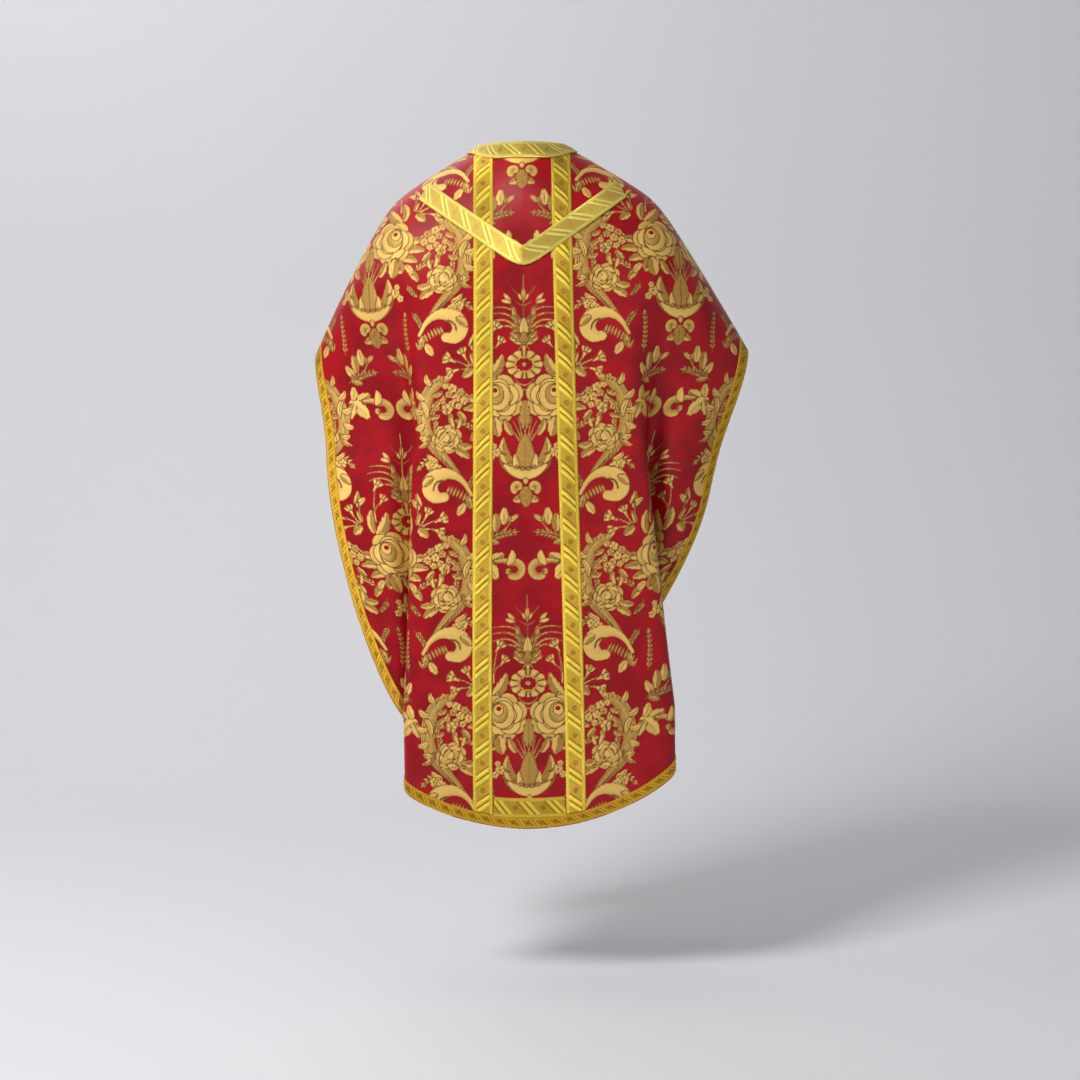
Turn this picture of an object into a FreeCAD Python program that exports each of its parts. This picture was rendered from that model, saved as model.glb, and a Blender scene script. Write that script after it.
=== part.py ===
"""A draped brocade chasuble: two stiff panels hung from the shoulders, with braids, interlining and lining.

Millimetres, +Z up.  The origin is the middle of the neck opening, level with the back neck edge.
The wearer faces +Y, so the back of the garment is on the -Y side and the wearer's left is at -X.

The cloth is described by the column of warp threads a point lies on (its distance from the middle,
measured along the cloth) and by its height.  Every column starts on the shoulder ridge, rolls over
the shoulder and hangs down; across the cloth, each height has a section of known turning angle, so
that the cloth keeps its width while it makes the deep fold behind each arm.
"""
import FreeCAD, Part
import math
import os
from dataclasses import dataclass

# Cut of the cloth
HALF_WIDTH = 410.0            # middle line to side edge, flat
NECK_HALF = 72.0              # middle line to the corner of neck edge and shoulder ridge
RIDGE_ROUND = 30.0            # rounding of the ridge line over the neck
RIDGE_SLOPE = 0.60            # fall of the shoulder from the neck outwards
ARM_SLOPE = 0.90              # further fall beyond the shoulder point
SHOULDER_POINT = 237.0        # column where the shoulder turns down over the arm
SHOULDER_SOFT = 12.0
SIDE_BOTTOM = -750.0          # where the straight side edge turns into the rounded hem
BACK_HEM = 413.0              # depth of the rounded hem below that, back
FRONT_HEM = 360.0             # and front
FRONT_NECK_DROP = 122.0       # how far the front neck edge falls below the back one

# Layers, measured from the face of the brocade; minus is inwards
SHELL = (0.0, -0.8)
INTERLINING = (-1.2, -2.0)
LINING = (-2.4, -3.0)
FACING = (-3.4, -4.0)
BRAID = (0.4, 1.4)
OVER_BRAID = (1.7, 2.7)       # a braid that crosses another
TOP_BRAID = (3.0, 4.0)        # and the neck braid, over both
INTERLINING_INSET = 14.0
LINING_INSET = 8.0
SEAM = 0.2                    # clear between two panels that meet under a braid

# Braids
GALLOON = 34.0                # width of the wide braid
EDGING = 18.0                 # width of the hem braid
EDGE_GAP = 1.0                # cloth left showing outside the hem braid
COLUMN_TOP = 66.0             # middle of a column braid from the middle line, at the neck
COLUMN_FOOT = 79.0            # and at the hem
FOOT_LIFT = 36.0              # middle of the foot braid above the hem
YOKE_DROP = 192.0             # middle of the yoke braid's point below the back neck edge
YOKE_SLOPE = 0.69
YOKE_ROUND = 10.0
FRONT_YOKE_DROP = 250.0
FACING_WIDTH = 22.0           # of the neck facing
NECK_CLEAR = 1.0              # between the neck edge and the band sewn round it
FAN_START = 0.35              # share of the neck's half where the band begins to turn outwards
TAPE_HALF = 12.0              # of the shoulder tape, each side of its seam
HEAD_INSET = 8.0              # column braids start this far below the neck edge
TIP_GAP = 4.0                 # and the hem braid this far below the ridge

SWEEP_HALF = NECK_HALF + 14.0  # half-width of the sweep of the inner layers round the neck
FRONT_SWEEP = FRONT_NECK_DROP + 12.0
BACK_SWEEP = 30.0
SWEEP_STEEP = 1.25
TAPE_IN, TAPE_OUT = 16.0, 24.0  # clear of the tape from the neck and from the tip
TAPE_CLEAR = 0.3              # between the tape's halves, along the cloth from the ridge
FOOT_GAP = 1.0                # between the column braids and the braids that they meet

STEP = 4.0                    # stride along the cloth when its section is added up
SEW = 0.01                    # tolerance when the faces of a solid are sewn
NUDGE = 1e-3                  # step of the parameters when a normal is worked out
DEGREE = 3                    # of every surface
FORWARD = 1                   # both edges of a side face run the same way
ROWS = 38                     # poles down a panel
SIDE_POLES = 31               # poles across a side panel
CENTRE_POLES = 9              # and across a centre panel


@dataclass(frozen=True)
class Fold:
    """How one quarter of the garment folds as it falls."""
    roll: float               # column where the cloth rolls forward, high up
    drift: float              # how far that column moves outwards lower down
    valley: float             # cloth taken by the forward run of the fold
    valley_low: float         # extra cloth taken low down
    turn: float               # angle of the forward run
    turn_low: float           # extra angle low down
    start: float              # drop below the neck where the fold starts
    wing: float               # angle of the wing at its side edge
    back_turn: float          # angle of the run that comes back out
    tip_pull: float           # how far the tip is drawn in, as a share


@dataclass(frozen=True)
class Side:
    """The back or the front sheet."""
    name: str
    sign: float               # -1 for the back, +1 for the front
    depth: float              # distance of the sheet from the shoulder line
    flare: float              # extra distance at the hem
    hem: float
    left: Fold
    right: Fold


BACK = Side("back", -1.0, 130.0, 50.0, BACK_HEM,
            Fold(178.0, 35.0, 56.0, 26.0, 1.68, 0.41, 170.0, 0.21, 0.92, 0.114),
            Fold(180.0, 68.0, 58.0, 72.0, 1.76, 0.48, 229.0, 0.57, 1.31, 0.052))
FRONT = Side("front", 1.0, 118.0, 45.0, FRONT_HEM,
             Fold(176.0, 46.0, 69.0, 13.0, 1.58, 0.38, 128.0, 0.39, 0.66, 0.114),
             Fold(172.0, 26.0, 64.0, 56.0, 2.00, 0.48, 214.0, 0.20, 0.60, 0.052))
ROLL_LENGTH = 200.0           # drop over which the cloth rolls over the shoulder
RIDGE_REACH = 80.0


def smooth(t):
    t = min(max(t, 0.0), 1.0)
    return t * t * (3.0 - 2.0 * t)


def soft_step(t):
    return 0.5 * (1.0 + math.tanh(t))


@dataclass(frozen=True)
class Onset:
    """Depths below the neck between which something grows from nothing to full."""
    start: float
    reach: float

    def at(self, drop):
        return smooth((drop - self.start) / self.reach)


DRIFT = Onset(300.0, 600.0)          # the roll's drift outwards, which goes on at its pace
DRIFT_LEAST, DRIFT_MOST = -0.3, 1.1  # between these shares
VALLEY_LOW = Onset(550.0, 400.0)     # extra cloth in the fold
TURN_REACH = 360.0                   # drop over which the fold deepens
TURN_LOW = Onset(480.0, 400.0)       # and deepens again
BACK_HIGH = Onset(310.0, 280.0)      # the run back out, in two halves
BACK_LOW = Onset(500.0, 320.0)
WING = Onset(280.0, 350.0)           # the wing's turn
WING_LEAD, WING_SPREAD = 10.0, 80.0  # where on the cloth the wing's turn starts, and its width
RISE = 45.0                          # cloth in the run back out
ROLL_SOFT, VALLEY_SOFT = 15.0, 11.0  # roundness of the bends
BODY_TURN = 0.22                     # angle at the side edge from the roundness of the body
FLARE_REACH = 1100.0                 # drop over which the sheet flares


def ridge(column):
    """Height of the shoulder ridge over a column."""
    b = math.hypot(column, RIDGE_ROUND)
    over = (b - SHOULDER_POINT) / SHOULDER_SOFT
    arm = SHOULDER_SOFT * (math.log1p(math.exp(over)) if over < 30.0 else over)
    return -(RIDGE_SLOPE * (b - NECK_HALF) + ARM_SLOPE * arm)


def neck_edge(column, side):
    """Height of the neck edge, which meets the ridge at the neck corners."""
    t = min(abs(column) / NECK_HALF, 1.0)
    corner = ridge(NECK_HALF)
    if side.sign < 0:
        return corner * t * t
    return corner - FRONT_NECK_DROP * math.cos(0.5 * math.pi * t)


def top(column, side):
    """Height where a column starts: the neck edge in the middle, the ridge on the shoulders."""
    return neck_edge(column, side) if abs(column) <= NECK_HALF else ridge(column)


def ridge_drop(column, arc, side):
    """How far the cloth falls below the ridge while it runs a short way from it along itself."""
    depth = side.depth * (1.0 - 0.5 * (column / HALF_WIDTH) ** 2)
    return arc * arc * ROLL_LENGTH / (2.0 * depth * depth)


def hem(column, side, inset=0.0):
    """Height of the lower edge: half an ellipse hung between the two straight sides."""
    t = min(abs(column) / (HALF_WIDTH - inset), 1.0)
    return SIDE_BOTTOM - (side.hem - inset) * math.sqrt(max(1.0 - t * t, 0.0))


def turning(b, drop, fold):
    """Angle of the cloth's section to the X axis, at a distance b from the middle."""
    share = min(max((drop - DRIFT.start) / DRIFT.reach, DRIFT_LEAST), DRIFT_MOST)
    roll = fold.roll + fold.drift * share
    valley = roll + fold.valley + fold.valley_low * VALLEY_LOW.at(drop)
    rise = valley + RISE
    turn = fold.turn * smooth((drop - fold.start) / TURN_REACH) + fold.turn_low * TURN_LOW.at(drop)
    back = fold.back_turn * 0.5 * (BACK_HIGH.at(drop) + BACK_LOW.at(drop))
    wing = fold.wing * WING.at(drop)
    forward = soft_step((b - roll) / ROLL_SOFT) - soft_step((b - valley) / VALLEY_SOFT)
    outward = soft_step((b - valley) / VALLEY_SOFT) - soft_step((b - rise) / VALLEY_SOFT)
    return (BODY_TURN * b / HALF_WIDTH + turn * forward - back * outward
            + wing * smooth((b - rise + WING_LEAD) / WING_SPREAD))


def section(b, drop, fold):
    """How far out and how far forward the cloth has come at b: its turning angle added up."""
    steps = max(int(math.ceil(b / STEP)), 1)
    stride = b / steps
    out = forward = 0.0
    for i in range(steps):
        angle = turning((i + 0.5) * stride, drop, fold)
        out += math.cos(angle) * stride
        forward += math.sin(angle) * stride
    return out, forward


def drape(column, height, side):
    """The point of the cloth on a column at a height."""
    fold = side.left if column < 0 else side.right
    b = abs(column)
    crest = ridge(column)
    height = min(height, crest)
    below = crest - height
    out, forward = section(b, -height, fold)
    crest_out, _ = section(b, -crest, fold)
    ridge_x = b * (1.0 - fold.tip_pull * (b / HALF_WIDTH) ** 2)
    x = out + (ridge_x - crest_out) * math.exp(-below / RIDGE_REACH)
    over = 1.0 - min(below / ROLL_LENGTH, 1.0)
    depth = side.depth + side.flare * smooth(-height / FLARE_REACH) - forward
    y = side.sign * depth * math.sqrt(max(1.0 - over * over, 0.0))
    return FreeCAD.Vector(math.copysign(x, column), y, height)


def even_knots(count):
    """Knots and multiplicities of a clamped cubic with this many poles."""
    spans = count - DEGREE
    return list(range(spans + 1)), [DEGREE + 1] + [1] * (spans - 1) + [DEGREE + 1]


def skin(place, us, vs, lift):
    """A smooth surface whose poles are points of place(u, v) lifted along the cloth's normal."""
    rows = []
    for u in us:
        row = []
        for v in vs:
            du = place(min(u + NUDGE, 1.0), v) - place(max(u - NUDGE, 0.0), v)
            dv = place(u, min(v + NUDGE, 1.0)) - place(u, max(v - NUDGE, 0.0))
            normal = du.cross(dv)
            normal.normalize()
            row.append(place(u, v) + normal * lift)
        rows.append(row)
    knots_u, mults_u = even_knots(len(us))
    knots_v, mults_v = even_knots(len(vs))
    surface = Part.BSplineSurface()
    surface.buildFromPolesMultsKnots(rows, mults_u, mults_v, knots_u, knots_v, False, False, DEGREE, DEGREE)
    return surface


def sheet(place, across, down, side, layer):
    """A closed solid between two lifted copies of the surface place(u, v).

    across and down are counts of poles, or lists of the parameters themselves; u runs to +X and v
    runs down, so the normal of place is +Y.
    """
    us, vs = (p if isinstance(p, list) else [i / (p - 1) for i in range(p)] for p in (across, down))
    faces = []
    edges = []
    for lift in layer:
        surface = skin(place, us, vs, lift * side.sign)
        u0, u1, v0, v1 = surface.bounds()
        faces.append(surface.toShape())
        edges.append([c.toShape() for c in (surface.uIso(u0), surface.uIso(u1),
                                            surface.vIso(v0), surface.vIso(v1))])
    for low, high in zip(*edges):
        faces.append(Part.makeRuledSurface(low, high, FORWARD))
    shell = Part.makeShell(faces)
    shell.sewShape(SEW)
    solid = Part.makeSolid(Part.Shell(shell.Faces))
    if solid.Volume < 0:
        solid.reverse()
    return solid


def falling(v):
    """Share of a column's fall at parameter v: slow at first, so that the roll is well followed."""
    return v * (0.01 + 0.99 * v)


def panel(side, first, last):
    """A stretch of the sheet between two columns."""
    def place(u, v):
        column = first + (last - first) * u
        start = top(column, side)
        return drape(column, start + (hem(column, side) - start) * falling(v), side)
    return place


def inner_columns(inset):
    """Columns of an inner layer: those of the three panels, cut back to the inset."""
    outer = [NECK_HALF + (HALF_WIDTH - NECK_HALF) * i / (SIDE_POLES - 1) for i in range(SIDE_POLES)]
    kept = [c for c in outer if c < HALF_WIDTH - inset - STEP] + [HALF_WIDTH - inset]
    middle = [NECK_HALF * (2.0 * i / (CENTRE_POLES - 1) - 1.0) for i in range(1, CENTRE_POLES - 1)]
    return [-c for c in reversed(kept)] + middle + kept


def inner_sheet(side, inset, layer):
    """A layer that backs the whole sheet, set in from its edges, with the neck corners rounded."""
    wide = HALF_WIDTH - inset
    columns = inner_columns(inset)

    def place(u, v):
        column = wide * (2.0 * u - 1.0)
        reach = max(SWEEP_HALF - abs(column), 0.0) / SWEEP_HALF
        drop = inset + (FRONT_SWEEP if side.sign > 0 else BACK_SWEEP)
        start = ridge(column) - ridge_drop(column, inset, side) - drop * smooth(reach * SWEEP_STEEP)
        return drape(column, start + (hem(column, side, inset) - start) * falling(v), side)
    return sheet(place, [0.5 + 0.5 * c / wide for c in columns], ROWS, side, layer)


def along(side, path, width):
    """A band of the given width centred on path(u), which runs towards +X on the cloth."""
    def place(u, v):
        a0, z0 = path(max(u - NUDGE, 0.0))
        a1, z1 = path(min(u + NUDGE, 1.0))
        a, z = path(u)
        shift = (v - 0.5) * width / math.hypot(a1 - a0, z1 - z0)
        return drape(a + (z1 - z0) * shift, z - (a1 - a0) * shift, side)
    return place


def column_band(side, hand):
    """The upright braid on one side of the middle, from the neck edge to the hem braid."""
    def place(u, v):
        share = falling(v)
        middle = COLUMN_TOP + (COLUMN_FOOT - COLUMN_TOP) * smooth(share)
        column = hand * middle + (u - 0.5) * GALLOON
        head = top(column, side) - HEAD_INSET
        foot = hem(column, side) + EDGE_GAP + EDGING + FOOT_GAP
        return drape(column, head + (foot - head) * share, side)
    return place


def foot_path(side):
    """The short braid between the two upright ones, just above the hem braid."""
    reach = COLUMN_FOOT - 0.5 * GALLOON - FOOT_GAP

    def path(u):
        column = reach * (2.0 * u - 1.0)
        return column, hem(0.0, side) + FOOT_LIFT + (hem(column, side) - hem(0.0, side)) * 0.5
    return path


def yoke_path(side):
    """The V from one shoulder to the other, with a slightly rounded point."""
    drop = YOKE_DROP if side.sign < 0 else FRONT_YOKE_DROP

    def line(column):
        return -drop + YOKE_SLOPE * (math.hypot(column, YOKE_ROUND) - YOKE_ROUND)
    reach = 0.0
    margin = 0.68 * GALLOON
    while line(reach) + margin < ridge(reach):
        reach += 1.0

    def path(u):
        column = reach * (2.0 * u - 1.0)
        return column, line(column)
    return path


def neck_band(side, width):
    """A band sewn round the neck edge: straight down in the middle, out along the ridge at its ends."""
    def edge(share):
        column = (NECK_HALF - 1.0) * share
        return column, neck_edge(column, side) - NECK_CLEAR

    def place(u, v):
        share = 2.0 * u - 1.0
        a0, z0 = edge(max(share - NUDGE, -1.0))
        a1, z1 = edge(min(share + NUDGE, 1.0))
        column, height = edge(share)
        size = math.hypot(a1 - a0, z1 - z0)
        fan = smooth((abs(share) - FAN_START) / (1.0 - FAN_START))
        slope = math.hypot(1.0, RIDGE_SLOPE)
        across = (1.0 - fan) * (z1 - z0) / size + fan * math.copysign(1.0, share) / slope
        down = -(1.0 - fan) * (a1 - a0) / size - fan * RIDGE_SLOPE / slope
        reach = v * width / math.hypot(across, down)
        return drape(column + across * reach, height + down * reach, side)
    return place


def edge_band(side):
    """The hem braid: from the left tip down, round the hem and up to the right tip."""
    inset = EDGE_GAP + 0.5 * EDGING
    half = HALF_WIDTH - inset
    depth = side.hem - inset
    straight = ridge(half) - TIP_GAP - SIDE_BOTTOM
    rounded = math.pi * math.sqrt(0.5 * (half * half + depth * depth))
    total = 2.0 * straight + rounded

    def place(u, v):
        run = min(u, 1.0 - u) * total
        hand = -1.0 if u < 0.5 else 1.0
        shift = (v - 0.5) * EDGING
        if run <= straight:
            column = half + shift
            height = SIDE_BOTTOM + straight - run
            height += (ridge(column) - ridge(half)) * math.exp(-run / EDGING)
        else:
            angle = math.pi * (run - straight) / rounded
            dx, dz = depth * math.cos(angle), half * math.sin(angle)
            size = math.hypot(dx, dz)
            column = half * math.cos(angle) + shift * dx / size
            height = SIDE_BOTTOM - depth * math.sin(angle) - shift * dz / size
        return drape(hand * column, height, side)
    return place


def tape_half(side, hand):
    """One sheet's half of the tape that stays a shoulder seam."""
    first, last = NECK_HALF + TAPE_IN, HALF_WIDTH - TAPE_OUT
    if hand < 0:
        first, last = -last, -first

    def place(u, v):
        column = first + (last - first) * u
        return drape(column, ridge(column) - ridge_drop(column, TAPE_CLEAR + TAPE_HALF * v, side), side)
    return sheet(place, 20, 5, side, FACING)


def build():
    """All the pieces of the garment, by node name."""
    pieces = {}
    for side in (BACK, FRONT):
        name = side.name
        seam = NECK_HALF + SEAM
        pieces[name + "_centre_panel"] = sheet(panel(side, -NECK_HALF, NECK_HALF),
                                               CENTRE_POLES, ROWS, side, SHELL)
        pieces[name + "_left_panel"] = sheet(panel(side, -HALF_WIDTH, -seam), SIDE_POLES, ROWS, side, SHELL)
        pieces[name + "_right_panel"] = sheet(panel(side, seam, HALF_WIDTH), SIDE_POLES, ROWS, side, SHELL)
        pieces[name + "_interlining"] = inner_sheet(side, INTERLINING_INSET, INTERLINING)
        pieces[name + "_lining"] = inner_sheet(side, LINING_INSET, LINING)
        for hand, word in ((-1.0, "left"), (1.0, "right")):
            pieces[name + "_" + word + "_column_braid"] = sheet(column_band(side, hand), 4, ROWS, side, BRAID)
        pieces[name + "_foot_braid"] = sheet(along(side, foot_path(side), GALLOON), 8, 4, side, BRAID)
        pieces[name + "_yoke_braid"] = sheet(along(side, yoke_path(side), GALLOON), 31, 4, side, OVER_BRAID)
        pieces[name + "_neck_braid"] = sheet(neck_band(side, 0.8 * GALLOON), 33, 5, side, TOP_BRAID)
        pieces[name + "_hem_braid"] = sheet(edge_band(side), 120, 4, side, BRAID)
        pieces[name + "_neck_facing"] = sheet(neck_band(side, FACING_WIDTH), 33, 5, side, FACING)
    for hand, word in ((-1.0, "left"), (1.0, "right")):
        pieces[word + "_shoulder_tape"] = Part.makeCompound([tape_half(side, hand) for side in (BACK, FRONT)])
    return pieces


def main():
    os.makedirs("parts", exist_ok=True)
    for name, shape in build().items():
        shape.exportStep("parts/" + name + ".step")
        print("%-28s solids %d  volume %9.0f mm3  valid %s"
              % (name, len(shape.Solids), shape.Volume, shape.isValid()))


main()
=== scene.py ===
"""A draped brocade chasuble: figured cloth, gold braids, linen interlining and satin lining.

Every layer of the garment is a surface worked out from one description of the hanging cloth.  A
point of the cloth is named by its column (its distance from the middle line, measured along the
cloth) and its height; the drape turns the pair into a place.  Lengths are in metres, +Z is up, the
wearer faces +Y and the origin is the middle of the neck opening.
"""
import logging
import math
from dataclasses import dataclass
from enum import Enum
from typing import Callable, ClassVar, Sequence

import bpy
import numpy as np
from mathutils import Matrix, Vector


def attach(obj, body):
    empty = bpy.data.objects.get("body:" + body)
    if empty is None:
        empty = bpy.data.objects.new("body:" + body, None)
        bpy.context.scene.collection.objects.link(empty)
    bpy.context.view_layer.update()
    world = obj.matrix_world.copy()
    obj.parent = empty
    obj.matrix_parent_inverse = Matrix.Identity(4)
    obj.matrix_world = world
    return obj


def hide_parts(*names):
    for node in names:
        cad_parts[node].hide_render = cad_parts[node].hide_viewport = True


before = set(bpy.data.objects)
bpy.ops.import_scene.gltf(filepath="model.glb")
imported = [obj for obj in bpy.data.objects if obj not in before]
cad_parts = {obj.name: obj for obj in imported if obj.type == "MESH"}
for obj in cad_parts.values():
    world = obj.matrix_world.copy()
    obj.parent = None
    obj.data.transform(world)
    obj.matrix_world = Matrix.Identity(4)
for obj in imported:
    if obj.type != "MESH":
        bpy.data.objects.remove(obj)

LOG = logging.getLogger("chasuble")
MM = 0.001
SUFFIX = "_look"
Field = np.ndarray
Piece = bpy.types.Object
Socket = bpy.types.NodeSocket


class Face(Enum):
    """The two sheets of the garment, with the sign of Y on which each hangs."""

    BACK = -1.0
    FRONT = 1.0


# ---------------------------------------------------------------------------------------------
# The hanging cloth
# ---------------------------------------------------------------------------------------------


def smooth(t: Field) -> Field:
    """Rise from 0 to 1 as t does, flat at both ends: three t squared less two t cubed."""
    t = np.clip(t, 0.0, 1.0)
    return t * t * (3.0 - 2.0 * t)


def soft_step(t: Field) -> Field:
    """Rise from 0 to 1 about t = 0: half of one plus the hyperbolic tangent."""
    return 0.5 * (1.0 + np.tanh(t))


def between(field: Field, x: Field, y: Field) -> Field:
    """Read a field at places given in its own steps, by straight lines both ways."""
    i, j = x.astype(int), y.astype(int)
    x, y = x - i, y - j
    low = field[i, j] * (1.0 - x) + field[i + 1, j] * x
    high = field[i, j + 1] * (1.0 - x) + field[i + 1, j + 1] * x
    return low * (1.0 - y) + high * y


@dataclass(frozen=True)
class Onset:
    """Depths below the neck between which something grows from nothing to full."""

    start: float
    reach: float

    def at(self, drop: Field) -> Field:
        """Share reached at a depth."""
        return smooth((drop - self.start) / self.reach)


VALLEY_LOW = Onset(0.550, 0.400)
TURN_LOW = Onset(0.480, 0.400)
BACK_HIGH = Onset(0.310, 0.280)
BACK_LOW = Onset(0.500, 0.320)
WING = Onset(0.280, 0.350)


@dataclass(frozen=True)
class Fold:
    """How one quarter of the garment folds as it falls.

    The cloth lies flat over the body, rolls forward at the roll column, runs into the fold for the
    valley's width, comes back out and ends in a wing that turns forward again.
    """

    roll: float
    drift: float
    valley: float
    valley_low: float
    turn: float
    turn_low: float
    start: float
    wing: float
    back_turn: float
    tip_pull: float

    DRIFT_START: ClassVar[float] = 0.300
    DRIFT_REACH: ClassVar[float] = 0.600
    TURN_REACH: ClassVar[float] = 0.360
    RISE: ClassVar[float] = 0.045
    ROLL_SOFT: ClassVar[float] = 0.015
    VALLEY_SOFT: ClassVar[float] = 0.011
    WING_LEAD: ClassVar[float] = 0.010
    WING_SPREAD: ClassVar[float] = 0.080
    BODY_TURN: ClassVar[float] = 0.22

    def angle(self, b: Field, drop: Field) -> Field:
        """Angle of the section to the X axis at a distance b from the middle.

        Args:
            b: distance from the middle line, along the cloth.
            drop: depth below the neck.

        Returns:
            A gentle turn in proportion to b, plus the forward run, less the run back out, plus the
            wing; each run is a difference of two soft steps.
        """
        share = np.clip((drop - self.DRIFT_START) / self.DRIFT_REACH, -0.3, 1.1)
        roll = self.roll + self.drift * share
        valley = roll + self.valley + self.valley_low * VALLEY_LOW.at(drop)
        rise = valley + self.RISE
        turn = self.turn * smooth((drop - self.start) / self.TURN_REACH)
        turn = turn + self.turn_low * TURN_LOW.at(drop)
        back = 0.5 * self.back_turn * (BACK_HIGH.at(drop) + BACK_LOW.at(drop))
        into = soft_step((b - valley) / self.VALLEY_SOFT)
        forward = soft_step((b - roll) / self.ROLL_SOFT) - into
        outward = into - soft_step((b - rise) / self.VALLEY_SOFT)
        wing = self.wing * WING.at(drop) * smooth((b - rise + self.WING_LEAD) / self.WING_SPREAD)
        return self.BODY_TURN * b / Cut.HALF + turn * forward - back * outward + wing


class Cut:
    """The flat cut of the garment: its driving lengths and the heights of its edges."""

    HALF = 0.410
    NECK = 0.072
    RIDGE_ROUND = 0.030
    RIDGE_SLOPE = 0.60
    ARM_SLOPE = 0.90
    SHOULDER_POINT = 0.237
    SHOULDER_SOFT = 0.012
    SIDE_BOTTOM = -0.750
    HEM = {Face.BACK: 0.413, Face.FRONT: 0.360}
    FRONT_NECK_DROP = 0.122
    GALLOON = 0.034
    EDGING = 0.018
    EDGE_GAP = 0.001
    CLEAR = 0.001
    COLUMN_TOP = 0.066
    COLUMN_FOOT = 0.079

    @classmethod
    def ridge(cls, column: Field) -> Field:
        """Height of the shoulder ridge: a gentle slope, with a steeper one past the shoulder point."""
        b = np.hypot(column, cls.RIDGE_ROUND)
        arm = cls.SHOULDER_SOFT * np.logaddexp(0.0, (b - cls.SHOULDER_POINT) / cls.SHOULDER_SOFT)
        return -(cls.RIDGE_SLOPE * (b - cls.NECK) + cls.ARM_SLOPE * arm)

    @classmethod
    def neck_edge(cls, column: Field, face: Face) -> Field:
        """Height of the neck edge: a parabola behind, and a rounded V in front."""
        t = np.clip(np.abs(column) / cls.NECK, 0.0, 1.0)
        corner = cls.ridge(np.array(cls.NECK))
        if face is Face.BACK:
            return corner * t * t
        return corner - cls.FRONT_NECK_DROP * np.cos(0.5 * math.pi * t)

    @classmethod
    def top(cls, column: Field, face: Face) -> Field:
        """Height where a column starts: neck edge in the middle, ridge on the shoulders."""
        return np.where(np.abs(column) <= cls.NECK, cls.neck_edge(column, face), cls.ridge(column))

    @classmethod
    def hem(cls, column: Field, face: Face, inset: float = 0.0) -> Field:
        """Height of the lower edge: half an ellipse hung between the straight sides."""
        t = np.clip(np.abs(column) / (cls.HALF - inset), 0.0, 1.0)
        return cls.SIDE_BOTTOM - (cls.HEM[face] - inset) * np.sqrt(np.maximum(1.0 - t * t, 0.0))

    @classmethod
    def area(cls, face: Face, first: float, last: float, inset: float = 0.0) -> float:
        """Flat area between two columns, in square metres: the mean fall times the width."""
        column = np.linspace(first, last, 401)
        fall = cls.top(column, face) - cls.hem(column, face, inset)
        return float(fall.mean() * (last - first))


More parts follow.
